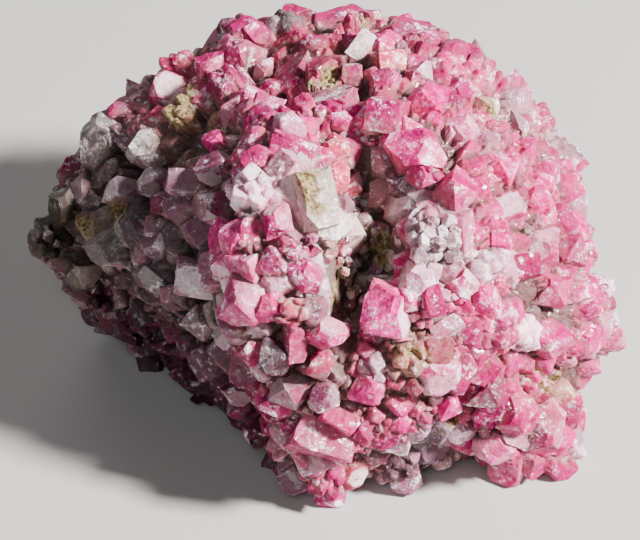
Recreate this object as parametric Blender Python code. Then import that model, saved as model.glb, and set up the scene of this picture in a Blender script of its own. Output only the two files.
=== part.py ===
"""A pink spinel crystal specimen: one broken lump of rock crusted all over with grown-together crystals.

The rock is a cage of hand-placed relief points joined by triangles, roughened a little. Crystals, each a
cube cleaved along its flat faces, are sunk into it and fused to it. The whole specimen is a single solid,
and its underside is trimmed flat so that it stands.

Frame: metres, +Z up, +X to the right and -Y towards the front. The origin lies on the flat underside,
below the middle of the show face.
"""

import math
import random
from itertools import product

import bmesh
import bpy
from mathutils import Euler, Matrix, Vector, noise
from mathutils.bvhtree import BVHTree

MM = 0.001

# ---- Driving dimensions, in millimetres ---------------------------------------------------------------
FACE_TILT_DEG = 42.0  # the show face looks up this far above the horizon
FACE_HEIGHT = 14.0  # the show face's own centre above the underside
VIEW_DISTANCE = 160.0  # across and up are stated as they look from this far in front of the show face
HEART = (3.5, 3.5, 9.0)  # a point well inside, from which every relief point can be seen
ROCK_ROUGHNESS = 0.35
SINK = 0.2  # of a crystal's size: how far its middle lies under the rock's surface
UNEVENNESS = 0.16  # how much nearer or further than its habit says a crystal's flat face may lie
RIM_DEPTH = -6.0  # how far back a crystal sits that lies on the very edge of the show face
FILLER_DIRECTIONS = 346
FILLER_SIZE = (2.1, 3.7)
FILLER_GAP = 0.42  # least distance between two crystals' middles, as a share of their two sizes together
PATCH = 6.0  # how wide the bare patches of rock between the clusters of smaller crystals are
BARE_BELOW = -0.12  # of the patch pattern, which runs from -1 to 1
SEED = 11
TRIM_WIDTH = 90.0  # of the block that takes off the underside
TRIM_HEIGHT = 30.0

# ---- Finish: the pink of the crystals, as linear red, green and blue ------------------------------------
SPINEL_PINK = (0.62, 0.24, 0.34)
SPINEL_ROUGHNESS = 0.4

# ---- The rock's surface as (across, up, towards the viewer) on the show face ---------------------------
OUTLINE = [
    (-22.4, 2.5, -8.0), (-20.4, 5.2, -7.0), (-19.6, 8.2, -9.6), (-17.0, 11.6, -7.6),
    (-13.9, 14.1, -10.4), (-11.0, 16.4, -8.0), (-8.4, 18.3, -10.0), (-4.8, 19.0, -7.4),
    (-0.7, 19.5, -10.6), (4.1, 19.5, -8.2), (8.8, 18.7, -10.2), (12.2, 16.8, -7.0),
    (13.9, 14.0, -8.8), (16.6, 11.9, -6.2), (19.0, 8.0, -7.4), (19.8, 3.9, -5.0),
    (20.7, 0.7, -5.0), (22.4, -2.0, -4.0), (22.3, -5.0, -4.0), (20.9, -7.9, -4.0),
    (19.5, -9.8, -4.0), (19.2, -12.7, -4.0), (18.5, -15.2, -3.5), (17.2, -15.8, -3.0),
    (14.6, -15.4, -2.5), (11.7, -14.8, -2.8), (8.2, -15.7, -2.0), (3.4, -16.6, -1.5),
    (0.4, -17.2, -1.0), (-2.0, -16.6, -1.0), (-3.9, -14.2, -4.0), (-6.2, -11.4, -6.5),
    (-9.8, -8.8, -10.0), (-14.4, -6.6, -12.0), (-18.3, -3.1, -13.0), (-20.6, -0.5, -11.5),
]
SHOW_FACE = [
    # the tall left block: its crest, the flat plate on its right flank and its shaded left flank
    (-4.3, 9.9, 8.2), (-6.0, 5.6, 11.0), (-6.2, 1.6, 11.8), (-6.3, -2.4, 11.4), (-5.4, -5.4, 9.8),
    (-1.6, 7.6, 10.8), (1.8, 3.9, 10.0), (0.8, 1.2, 10.6), (-2.4, 2.4, 12.2), (0.0, -4.5, 12.0),
    (-8.6, 5.8, 6.0), (-8.8, 1.6, 6.2), (-8.4, -2.4, 6.6), (-10.8, 7.5, 3.0), (-11.0, 1.4, 3.2),
    # the deep valley down the middle, its left half and its right half
    (3.2, 9.4, 5.6), (3.5, 6.6, 3.8), (3.6, 3.4, 3.2), (3.4, 0.4, 4.0), (2.2, -2.6, 7.0), (2.4, -5.0, 9.6),
    (5.2, 6.2, 5.4), (5.5, 3.2, 4.8), (5.0, 0.4, 5.4),
    # the right block and the slope that runs from it to the right edge
    (7.8, 4.6, 12.2), (8.6, 1.2, 12.8), (7.2, -0.4, 12.4), (5.6, -2.6, 12.4), (8.2, -2.4, 11.8),
    (10.5, 6.0, 9.8), (7.6, 8.0, 9.4), (15.0, -4.5, 7.5), (13.5, -0.7, 9.0), (16.5, 3.0, 5.6),
    (18.0, 6.7, 1.0), (13.5, 8.2, 6.0), (15.0, 11.2, 1.0), (9.7, 13.5, 4.0), (10.5, 16.5, -1.0),
    # the top, with a pocket left of its middle
    (4.9, 12.3, 6.8), (1.5, 12.7, 5.4), (0.4, 16.5, 0.4), (-3.4, 14.6, -1.6), (-7.4, 14.6, -1.8),
    (-6.0, 17.4, -3.0), (6.0, 17.0, -0.4),
    # the left shoulder, down to the tip
    (-12.7, 11.2, -2.4), (-12.9, 4.5, 1.0), (-16.5, 6.7, -4.4), (-19.4, 3.0, -5.2), (-15.9, 1.3, -1.8),
    # the long ledge under the left shoulder, and the wall set back below it
    (-13.0, -1.0, 1.0), (-9.2, -3.8, 5.2), (-5.4, -6.8, 8.6), (-14.2, -3.0, -6.0), (-12.7, -5.2, -7.6),
    (-10.5, -6.2, -3.8), (-6.9, -9.4, -0.6),
    # the keel at the front foot
    (-2.2, -9.7, 9.0), (-1.5, -13.4, 6.6), (1.9, -13.4, 6.6), (-0.7, -15.6, 3.2), (2.2, -9.7, 10.2),
    (6.0, -9.4, 10.0), (9.0, -8.0, 9.8), (5.6, -11.4, 8.4), (3.0, -14.0, 5.6),
    # the hollow right of the keel
    (8.2, -12.9, 0.8), (6.2, -14.3, 0.8), (10.8, -11.8, 2.6),
    # the right foot, with a notch between it and the lobe above
    (12.0, -8.2, 8.0), (13.5, -11.2, 4.8), (15.4, -8.8, 3.6), (16.5, -13.4, 3.0), (13.5, -13.7, 2.2),
    (18.5, -12.7, 0.2), (17.8, -8.7, -0.8), (19.2, -5.2, 3.8), (18.0, -2.2, 4.6), (21.4, -3.7, 0.2),
    (16.6, -10.9, 3.6),
]
# The same for the sides that face away, as (x, y, height above the underside)
BACK_AND_UNDERSIDE = [
    # the upper back, which falls away behind the skyline
    (-16.5, 16.0, 14.5), (-11.0, 19.4, 16.6), (-5.5, 20.8, 18.2), (0.5, 21.8, 17.6), (6.0, 21.4, 18.8),
    (11.5, 19.6, 16.6), (16.0, 16.2, 14.2),
    # the middle of the back: a bulge, a dent on its left and a shelf on its right
    (-19.0, 13.6, 9.0), (-13.5, 18.6, 11.0), (-8.0, 19.2, 13.0), (-3.5, 22.0, 12.0), (2.0, 20.8, 13.0),
    (6.5, 22.2, 11.0), (11.0, 19.2, 11.6), (15.5, 16.6, 9.0), (19.4, 10.6, 9.6),
    # the foot of the back
    (-17.0, 13.0, 3.0), (-11.5, 17.4, 5.6), (-6.0, 19.6, 7.0), (-0.5, 19.0, 5.4), (4.5, 20.4, 5.6),
    (10.0, 17.2, 6.6), (14.6, 13.4, 3.4), (-13.0, 13.0, -2.0), (-4.0, 16.0, -1.6), (6.0, 16.4, -1.6),
    (12.6, 11.0, -2.0),
    # the right and the left flank
    (20.2, 6.0, 6.0), (18.6, 2.4, 1.4), (17.4, -2.4, -0.4), (-18.4, 9.2, 2.2), (-14.6, 6.4, -1.0),
    (-11.6, 2.8, 0.2),
    # the underside, before it is trimmed level
    (-7.0, 5.0, -3.0), (0.0, 0.0, -3.0), (9.0, -3.0, -3.0), (0.0, 10.0, -3.0), (9.0, 7.0, -3.0),
    (2.0, -8.6, -2.4),
]

# ---- The crystals that stand out, as (across, up, size, habit, width to length, turn in degrees) --------
# A habit is how far off the middle the cube's and the octahedron's faces lie, as shares of half the size.
OCTAHEDRON, BLUNT, ROUNDED, BLOCK = (1.12, 0.7), (0.98, 0.8), (0.86, 0.98), (0.82, 1.3)
SHOW_CRYSTALS = [
    # the top, from left to right
    (-11.1, 15.7, 2.4, ROUNDED, 0.9, 20), (-7.3, 14.4, 2.7, ROUNDED, 0.8, 60),
    (-9.3, 13.5, 2.3, BLOCK, 0.7, 15), (-6.6, 18.3, 2.4, ROUNDED, 0.9, 0),
    (-4.6, 17.6, 2.6, BLOCK, 0.7, -50), (-2.6, 18.6, 3.2, ROUNDED, 0.8, 10),
    (2.2, 18.2, 2.7, ROUNDED, 0.9, 40), (0.0, 15.1, 3.2, BLUNT, 0.9, 30),
    (-2.2, 14.2, 2.3, OCTAHEDRON, 0.9, 0), (0.7, 13.1, 4.4, BLOCK, 0.55, 4),
    (1.5, 11.6, 2.8, OCTAHEDRON, 0.8, 35), (5.1, 12.2, 3.4, BLOCK, 0.95, 8),
    (4.9, 14.5, 2.5, BLUNT, 0.9, 20), (5.2, 16.2, 3.0, BLOCK, 0.6, -12), (6.6, 17.9, 5.0, BLUNT, 0.8, 25),
    (8.5, 12.9, 3.5, BLUNT, 0.9, 15), (7.7, 15.0, 2.7, OCTAHEDRON, 0.8, 50),
    (-4.0, 12.1, 3.0, BLOCK, 0.85, -8), (-7.9, 9.9, 2.6, OCTAHEDRON, 0.7, -20),
    (-11.0, 12.0, 2.3, ROUNDED, 0.8, 70),
    # the left block, its pale plate and the rounded grains on its flank
    (-2.4, 9.5, 3.8, BLOCK, 0.75, -42), (0.9, 9.2, 2.5, BLUNT, 0.8, 10), (0.9, 7.2, 2.7, BLUNT, 0.85, 55),
    (2.2, 6.4, 2.2, BLUNT, 0.75, 80), (-1.2, 5.8, 5.2, BLOCK, 0.6, -52), (0.9, 3.5, 2.9, ROUNDED, 0.8, 25),
    (-4.9, 8.4, 3.0, BLUNT, 0.8, 30), (-5.4, 6.2, 3.6, BLUNT, 0.9, 20),
    (-6.6, 2.7, 3.2, OCTAHEDRON, 0.8, 75), (-7.1, 0.4, 3.0, BLUNT, 0.75, -10),
    (-6.0, -2.2, 4.6, OCTAHEDRON, 0.85, 15), (-4.2, -2.8, 2.6, BLUNT, 0.8, 40),
    (-1.3, -0.5, 2.8, BLUNT, 0.85, -14), (-3.4, 3.6, 2.8, BLUNT, 0.9, 60),
    (-2.6, 1.9, 1.8, ROUNDED, 0.9, 0), (-1.1, 1.9, 1.7, ROUNDED, 0.9, 30),
    (0.4, 1.5, 1.7, ROUNDED, 0.8, 60), (1.5, 1.9, 1.8, ROUNDED, 0.9, 15), (1.5, 0.2, 1.7, ROUNDED, 0.9, 50),
    (-2.4, -3.2, 2.2, ROUNDED, 0.7, 5), (-2.2, -5.6, 3.0, BLOCK, 0.5, 85), (0.5, -4.9, 3.0, BLUNT, 0.8, 10),
    (0.0, -7.5, 2.3, OCTAHEDRON, 0.9, 0), (-3.5, -6.4, 3.6, OCTAHEDRON, 0.8, 65),
    # the valley
    (3.7, 4.6, 1.7, BLUNT, 0.9, 10), (3.4, 2.2, 1.6, ROUNDED, 0.9, 40), (4.3, 0.2, 2.4, BLOCK, 0.5, 35),
    (2.7, -2.2, 1.8, ROUNDED, 0.9, 10),
    # the right block
    (7.4, 9.2, 4.2, BLUNT, 0.8, -20), (6.2, 6.9, 3.2, OCTAHEDRON, 0.7, -30),
    (10.5, 6.1, 3.8, OCTAHEDRON, 0.8, 62), (8.8, 2.4, 4.0, BLOCK, 0.8, 28),
    (6.6, 0.4, 2.8, OCTAHEDRON, 0.8, 40), (5.3, -3.0, 4.6, OCTAHEDRON, 0.95, 28),
    (8.4, -2.2, 3.0, BLOCK, 0.5, 88), (12.0, 3.6, 2.6, ROUNDED, 0.9, 0), (13.8, 2.6, 2.3, BLOCK, 0.8, 70),
    (12.5, 0.3, 2.8, BLUNT, 0.8, 30), (10.9, -1.0, 2.3, BLUNT, 0.9, 5),
    (11.0, -2.7, 1.8, OCTAHEDRON, 0.9, 45), (9.7, -4.5, 2.8, BLOCK, 0.5, 10),
    (13.3, -4.6, 3.8, ROUNDED, 0.9, 20), (15.5, -4.9, 3.2, OCTAHEDRON, 0.8, 35),
    (9.2, -8.0, 3.8, BLUNT, 0.8, -25), (4.5, -7.6, 2.4, BLUNT, 0.9, 20),
    (3.7, -9.2, 3.0, OCTAHEDRON, 0.85, 10), (6.8, -7.0, 2.4, ROUNDED, 0.9, 0),
    (12.7, -9.2, 3.6, OCTAHEDRON, 0.9, 30), (11.9, -6.6, 3.0, BLUNT, 0.8, 10),
    # the keel and the hollow beside it
    (-2.4, -9.3, 3.2, OCTAHEDRON, 0.8, 20), (0.2, -9.8, 2.4, BLUNT, 0.9, 50),
    (1.2, -11.7, 3.2, BLOCK, 0.55, -14), (-0.4, -13.4, 5.2, BLOCK, 0.55, 4),
    (3.4, -12.2, 2.6, OCTAHEDRON, 0.8, 25), (0.4, -16.3, 2.8, ROUNDED, 0.8, 10),
    (2.4, -15.8, 2.6, BLUNT, 0.8, 40), (-2.2, -15.8, 2.6, BLOCK, 0.8, -30),
    (9.9, -10.3, 2.6, OCTAHEDRON, 0.8, 70), (10.7, -12.2, 2.5, BLUNT, 0.9, 15),
    (8.6, -14.0, 3.2, BLUNT, 0.7, 20), (5.8, -15.0, 3.0, ROUNDED, 0.7, 10),
    # the right slope, from the top down, and the right foot
    (9.9, 16.6, 3.3, BLUNT, 0.8, 35), (11.6, 15.4, 3.0, ROUNDED, 0.8, 0),
    (13.3, 14.2, 2.6, ROUNDED, 0.9, 0), (10.6, 13.6, 2.8, BLUNT, 0.9, 70),
    (12.5, 12.4, 2.6, OCTAHEDRON, 0.9, 15), (16.3, 11.7, 2.7, ROUNDED, 0.9, 0),
    (11.0, 10.9, 3.0, BLUNT, 0.8, 0), (13.5, 10.3, 2.6, ROUNDED, 0.9, 30),
    (18.0, 9.0, 3.3, ROUNDED, 0.8, 0), (15.7, 9.0, 2.8, BLUNT, 0.8, 50),
    (13.9, 7.6, 3.0, OCTAHEDRON, 0.9, 25), (18.6, 6.5, 3.0, ROUNDED, 0.9, 0),
    (16.6, 5.4, 2.8, BLUNT, 0.9, 10), (14.6, 4.8, 2.7, BLOCK, 0.8, 40), (19.3, 3.2, 2.8, BLUNT, 0.9, 0),
    (17.4, 1.8, 3.2, BLUNT, 0.8, 65), (20.1, 1.0, 2.6, ROUNDED, 0.9, 0), (15.6, 0.2, 3.0, BLOCK, 0.7, 20),
    (18.0, -1.4, 3.2, OCTAHEDRON, 0.9, 10), (21.2, -2.0, 3.8, ROUNDED, 0.85, 0),
    (20.3, -5.2, 3.6, BLUNT, 0.8, 30), (17.6, -5.4, 3.6, BLUNT, 0.75, 5),
    (22.0, -5.2, 2.4, ROUNDED, 0.9, 0), (20.4, -8.6, 2.6, OCTAHEDRON, 0.8, 30),
    (18.4, -9.4, 2.4, BLUNT, 0.9, 0), (15.2, -11.2, 3.6, BLUNT, 0.85, 20),
    (17.3, -12.6, 3.6, BLUNT, 0.9, 60), (18.9, -13.6, 2.8, BLOCK, 0.8, 85),
    (13.5, -13.6, 3.0, BLUNT, 0.9, 10), (16.4, -14.9, 3.0, OCTAHEDRON, 0.9, 0),
    # the left shoulder, its big pale blocks and the wall under the ledge
    (-10.5, 6.9, 3.8, BLOCK, 0.6, 18), (-12.9, 6.9, 3.0, BLUNT, 0.7, 0), (-8.2, 7.9, 3.2, BLUNT, 0.8, 40),
    (-10.8, 4.6, 2.6, BLOCK, 0.8, -30), (-9.3, 3.2, 3.3, BLOCK, 0.7, 30), (-13.5, 9.7, 3.9, BLUNT, 0.7, 12),
    (-17.0, 9.9, 5.0, BLUNT, 0.85, 40), (-15.3, 6.0, 3.2, OCTAHEDRON, 0.8, 20),
    (-19.8, 5.0, 3.4, BLUNT, 0.8, 50), (-16.3, 2.2, 3.8, BLOCK, 0.65, 25),
    (-20.6, 2.2, 3.0, ROUNDED, 0.8, 0), (-12.7, 1.9, 2.9, BLUNT, 0.8, 30),
    (-9.7, -0.6, 4.8, BLOCK, 0.6, -28), (-12.6, -0.6, 2.8, BLOCK, 0.6, -20),
    (-18.4, -0.2, 3.0, BLUNT, 0.8, 0), (-14.2, -4.3, 2.8, ROUNDED, 0.8, 0),
    (-11.2, -6.2, 2.8, ROUNDED, 0.8, 0), (-8.9, -7.3, 2.7, BLUNT, 0.8, 0), (-6.4, -9.5, 2.8, BLUNT, 0.8, 0),
    (-4.9, -12.6, 2.8, BLUNT, 0.8, 0), (-16.8, -1.9, 2.6, ROUNDED, 0.9, 0),
]


def on_show_face(across, up, towards):
    """A point of the show face's own frame, in the specimen's frame, in millimetres."""
    tilt = math.radians(FACE_TILT_DEG)
    spread = 1.0 - towards / VIEW_DISTANCE
    up = up * spread
    return Vector((
        across * spread,
        up * math.sin(tilt) - towards * math.cos(tilt),
        FACE_HEIGHT + up * math.cos(tilt) + towards * math.sin(tilt),
    ))


def mesh_object(name, bm):
    """The millimetre shape as a named object in metres, not yet in any collection."""
    bm.transform(Matrix.Scale(MM, 4))
    mesh = bpy.data.meshes.new(name)
    bm.to_mesh(mesh)
    bm.free()
    return bpy.data.objects.new(name, mesh)


def collection(name):
    """A new collection in the scene."""
    folder = bpy.data.collections.new(name)
    bpy.context.scene.collection.children.link(folder)
    return folder


def show_face_turn():
    """The turn that carries +X across, +Y up and +Z out of the show face."""
    return Matrix.Rotation(math.radians(90.0 - FACE_TILT_DEG), 3, "X")


def rock_cage():
    """The relief points, joined by the triangles that join their directions from the heart."""
    heart = Vector(HEART)
    points = [on_show_face(*place) for place in OUTLINE + SHOW_FACE]
    points += [Vector(place) for place in BACK_AND_UNDERSIDE]
    bm = bmesh.new()
    corners = {bm.verts.new((place - heart).normalized()): place for place in points}
    bmesh.ops.convex_hull(bm, input=bm.verts)
    for corner, place in corners.items():
        corner.co = place
    bmesh.ops.recalc_face_normals(bm, faces=bm.faces)
    return bm


def roughen(bm, dice):
    """Each triangle of the cage parted in four, with the new corners pushed in or out a little."""
    old = set(bm.verts)
    bmesh.ops.subdivide_edges(bm, edges=bm.edges, cuts=1, use_grid_fill=True)
    bmesh.ops.triangulate(bm, faces=bm.faces)
    heart = Vector(HEART)
    for vert in bm.verts:
        if vert not in old:
            outwards = (vert.co - heart).normalized()
            vert.co += outwards * dice.uniform(-ROCK_ROUGHNESS, ROCK_ROUGHNESS)


def cleaved(habit, dice):
    """A crystal one unit in size, as a bmesh: a large cube cut down along each of its flat faces in turn."""
    cube_share, octahedron_share = habit
    ways = [Vector(way) for way in product((-1, 0, 1), repeat=3) if sum(map(abs, way)) in (1, 3)]
    bm = bmesh.new()
    bmesh.ops.create_cube(bm, size=4.0)
    for way in ways:
        share = cube_share if sum(map(abs, way)) == 1 else octahedron_share
        face = way.normalized()
        middle = face * share / 2 * dice.uniform(1 - UNEVENNESS, 1 + UNEVENNESS)
        shape = bm.verts[:] + bm.edges[:] + bm.faces[:]
        cut = bmesh.ops.bisect_plane(bm, geom=shape, plane_co=middle, plane_no=face, clear_outer=True)
        rim = [edge for edge in cut["geom_cut"] if isinstance(edge, bmesh.types.BMEdge)]
        bmesh.ops.contextual_create(bm, geom=rim)
    return bm


def crystal(name, place, outwards, size, habit, width, turn, dice):
    """One crystal: sunk into the rock, its long side turned on the show face, tipped a little at random."""
    bm = cleaved(habit, dice)
    tip = Euler([dice.uniform(-0.45, 0.45) for _ in range(3)]).to_matrix()
    stretch = Matrix.Diagonal((size, size * width, size * dice.uniform(0.8, 1.0)))
    spin = Matrix.Rotation(math.radians(turn), 3, "Z")
    bm.transform((show_face_turn() @ spin @ tip @ stretch).to_4x4())
    bm.transform(Matrix.Translation(place - outwards * size * SINK))
    return mesh_object(name, bm)


def crystal_sites(cage, dice):
    """(place, outwards, size, habit, width, turn) of every crystal: those that stand out, then the rest."""
    skin = BVHTree.FromBMesh(cage)
    heart = Vector(HEART)
    sites = []
    viewpoint = on_show_face(0.0, 0.0, VIEW_DISTANCE)
    for across, up, size, habit, width, turn in SHOW_CRYSTALS:
        place = skin.ray_cast(viewpoint, on_show_face(across, up, 0.0) - viewpoint)[0]
        if place is None:
            place = skin.find_nearest(on_show_face(across, up, RIM_DEPTH))[0]
        sites.append((place, (place - heart).normalized(), size, habit, width, turn))
    golden = math.pi * (3.0 - math.sqrt(5.0))
    for step in range(FILLER_DIRECTIONS):
        height = 1.0 - 2.0 * (step + 0.5) / FILLER_DIRECTIONS
        ring = math.sqrt(1.0 - height * height)
        way = Vector((ring * math.cos(golden * step), ring * math.sin(golden * step), height))
        place = skin.ray_cast(heart, way)[0]
        size = dice.uniform(*FILLER_SIZE)
        habit = dice.choice([OCTAHEDRON, OCTAHEDRON, ROUNDED, BLOCK])
        width, turn = dice.uniform(0.6, 1.0), dice.uniform(0.0, 180.0)
        crowded = any((place - other[0]).length < FILLER_GAP * (size + other[2]) for other in sites)
        bare = noise.noise(place / PATCH) < BARE_BELOW
        if place.z > 0.0 and not crowded and not bare:
            sites.append((place, way, size, habit, width, turn))
    return sites


def trim_block():
    """The block whose top face cuts the underside level at height 0."""
    bm = bmesh.new()
    bmesh.ops.create_cube(bm, size=1.0)
    bm.transform(Matrix.Diagonal((TRIM_WIDTH, TRIM_WIDTH, TRIM_HEIGHT, 1.0)))
    bm.transform(Matrix.Translation((0.0, 0.0, -TRIM_HEIGHT / 2)))
    return mesh_object("trim_block", bm)


def keep_as_guide(piece, folder):
    """A piece that only shapes the specimen: drawn as wires and never rendered."""
    folder.objects.link(piece)
    piece.hide_render = True
    piece.display_type = "WIRE"


def fuse_and_trim(rock, crystals):
    """Join every crystal to the rock, then cut the underside off level."""
    grown = collection("crystals_to_fuse")
    for piece in crystals:
        keep_as_guide(piece, grown)
    union = rock.modifiers.new("fuse_crystals", "BOOLEAN")
    union.operation = "UNION"
    union.solver = "EXACT"
    union.operand_type = "COLLECTION"
    union.collection = grown
    block = trim_block()
    keep_as_guide(block, collection("cutters"))
    trim = rock.modifiers.new("trim_underside", "BOOLEAN")
    trim.operation = "DIFFERENCE"
    trim.solver = "EXACT"
    trim.object = block


def spinel_material():
    """Glassy but frosted pink crystal."""
    material = bpy.data.materials.new("pink_spinel")
    material.use_nodes = True
    shader = material.node_tree.nodes["Principled BSDF"]
    shader.inputs["Base Color"].default_value = (*SPINEL_PINK, 1.0)
    shader.inputs["Roughness"].default_value = SPINEL_ROUGHNESS
    shader.inputs["Metallic"].default_value = 0.0
    return material


def main():
    for old in list(bpy.data.objects):
        bpy.data.objects.remove(old)
    dice = random.Random(SEED)
    cage = rock_cage()
    sites = crystal_sites(cage, dice)
    crystals = [crystal(f"crystal_{number:03d}", *site, dice) for number, site in enumerate(sites)]
    roughen(cage, dice)
    specimen = mesh_object("spinel_specimen", cage)
    specimen.data.materials.append(spinel_material())
    collection("spinel_crystal_specimen").objects.link(specimen)
    fuse_and_trim(specimen, crystals)


main()
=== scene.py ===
# %% [markdown]
# # A pink spinel specimen
# The object is one broken lump of rock, about 47 mm wide, crusted all over with small pink spinel
# crystals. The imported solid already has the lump's form and its larger crystals, with plain flat faces.
# This notebook gives it the surface that the eye expects: crystals with crisp, slightly uneven faces,
# thousands of smaller ones grown in between, cracks, sandy crust, and a milky, partly frosted pink.
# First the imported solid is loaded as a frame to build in.

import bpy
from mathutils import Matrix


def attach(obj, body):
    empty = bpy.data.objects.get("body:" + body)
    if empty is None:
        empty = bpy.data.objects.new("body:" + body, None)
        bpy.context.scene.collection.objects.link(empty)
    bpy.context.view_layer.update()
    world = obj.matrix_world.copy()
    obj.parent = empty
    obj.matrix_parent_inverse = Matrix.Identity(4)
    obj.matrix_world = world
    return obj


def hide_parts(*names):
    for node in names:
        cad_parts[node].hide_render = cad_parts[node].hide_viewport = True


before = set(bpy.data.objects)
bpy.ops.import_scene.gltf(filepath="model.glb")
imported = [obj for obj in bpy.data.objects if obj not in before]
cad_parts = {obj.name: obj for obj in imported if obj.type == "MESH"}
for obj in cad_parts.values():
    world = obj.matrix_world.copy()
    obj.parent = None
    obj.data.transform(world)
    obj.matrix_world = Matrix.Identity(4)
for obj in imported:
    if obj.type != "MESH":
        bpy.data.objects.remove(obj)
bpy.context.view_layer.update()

# %% Tools used all the way down
import math
import random
from itertools import product

import bmesh
import bpy
import numpy as np
from mathutils import Euler, Matrix, Vector, noise
from mathutils.bvhtree import BVHTree

MM = 0.001
NODE = "spinel_specimen"
print("dressing", NODE, "from tables in millimetres")

# %% [markdown]
# ## Where things are
# The side worth showing looks up 42 degrees above the horizon, so it has a frame of its own: across to the
# right, up, and towards the viewer, in millimetres from a point 14 mm above the floor. Across and up are
# stated as they look from 160 mm away, which is how far a close-up lens stands off. Points could be typed
# straight in the specimen's x, y and z, but a form can't be read from such numbers.

# %% The show face's own frame
FACE_TILT_DEG = 42.0
FACE_HEIGHT = 14.0  # mm
VIEW_DISTANCE = 160.0  # mm


def on_show_face(across, up, towards):
    """A point of the show face's frame in the specimen's frame: the frame is tipped back, and what lies
    further off is spread by its distance so that it looks as stated."""
    tilt = math.radians(FACE_TILT_DEG)
    spread = 1.0 - towards / VIEW_DISTANCE
    up = up * spread
    return Vector((
        across * spread,
        up * math.sin(tilt) - towards * math.cos(tilt),
        FACE_HEIGHT + up * math.cos(tilt) + towards * math.sin(tilt),
    ))


print("10 mm towards the viewer is", on_show_face(0.0, 0.0, 10.0)[:])

# %% [markdown]
# ## Camera and light
# A long lens from 160 mm keeps the drawing calm, where a short one would swell the middle. A small bright
# lamp stands high on the right: its light rakes over the crystals, and being small it gives the crisp
# shadows and glints by which the eye tells that a face is flat. A faint one near the viewer opens the
# shade, and one behind draws the skyline.

# %% Camera
LENS = 120.0  # mm
SENSOR_WIDTH = 36.0  # mm
NEAREST_DRAWN = 0.005  # m

camera = bpy.data.objects.new("camera", bpy.data.cameras.new("camera"))
camera.data.lens = LENS
camera.data.sensor_width = SENSOR_WIDTH
camera.data.clip_start = NEAREST_DRAWN
bpy.context.scene.collection.objects.link(camera)
bpy.context.scene.camera = camera
camera.location = on_show_face(0.0, 0.0, VIEW_DISTANCE) * MM
camera.rotation_euler = (math.radians(90.0 - FACE_TILT_DEG), 0.0, 0.0)
print("camera at", [round(c, 3) for c in camera.location])


# %% Lamps
def lamp(name, place, power, size, colour=(1.0, 1.0, 1.0)):
    """A square lamp, in metres and watts, that shines on the middle of the specimen."""
    light = bpy.data.lights.new(name, "AREA")
    light.energy = power
    light.size = size
    light.color = colour
    piece = bpy.data.objects.new(name, light)
    piece.location = place
    aim = Vector((0.0, 0.0, FACE_HEIGHT * MM)) - Vector(place)
    piece.rotation_euler = aim.to_track_quat("-Z", "Y").to_euler()
    bpy.context.scene.collection.objects.link(piece)
    print(name, "of", power, "W,", round(aim.length, 2), "m away")


WARM, COOL = (1.0, 0.98, 0.965), (0.93, 0.96, 1.0)
lamp("key_lamp", (0.31, -0.116, 0.289), 9.0, 0.055, WARM)
lamp("fill_lamp", (-0.06, -0.28, 0.33), 0.45, 0.20, COOL)
lamp("back_lamp", (-0.10, 0.36, 0.22), 0.5, 0.30)

# %% The studio's own dim light
STUDIO_COLOUR = (0.80, 0.84, 0.90, 1.0)
STUDIO_STRENGTH = 0.06

world = bpy.data.worlds.new("studio")
world.use_nodes = True
sky = world.node_tree.nodes["Background"]
sky.inputs["Color"].default_value = STUDIO_COLOUR
sky.inputs["Strength"].default_value = STUDIO_STRENGTH
bpy.context.scene.world = world
print("studio light", STUDIO_STRENGTH)


# %% [markdown]
# ## Small tools for colours, materials and meshes
# Colours are written as on a paint card, in sRGB hex, and turned to linear once. One function adds any
# shader node. One makes a mesh from arrays, and every piece goes through it: a surface worked out as
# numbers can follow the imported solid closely, where sculpting by hand would drift from it.

# %% Colours
def linear(code):
    """sRGB hex to linear red, green and blue: each channel is taken through the sRGB curve backwards."""
    channels = np.array([int(code[k:k + 2], 16) for k in (1, 3, 5)]) / 255.0
    return np.where(channels <= 0.04045, channels / 12.92, ((channels + 0.055) / 1.055) ** 2.4)


def rgba(code):
    """The same with an alpha of one."""
    return (*linear(code), 1.0)


print("middle grey is", linear("#777777").round(3), "in linear light")


# %% Nodes and meshes
def node(tree, kind, inputs=(), **settings):
    """Add a node. Settings are its properties, or its inputs' numbers with _ for a space. Inputs are pairs:
    an input, and what goes into it, a value, a socket, or a node for that node's first output."""
    made = tree.nodes.new("ShaderNode" + kind)
    for key, value in settings.items():
        if hasattr(made, key):
            setattr(made, key, value)
        else:
            made.inputs[key.replace("_", " ")].default_value = value
    for key, value in inputs:
        if isinstance(value, bpy.types.Node):
            value = value.outputs[0]
        if isinstance(value, bpy.types.NodeSocket):
            tree.links.new(value, made.inputs[key])
        else:
            made.inputs[key].default_value = value
    return made


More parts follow.
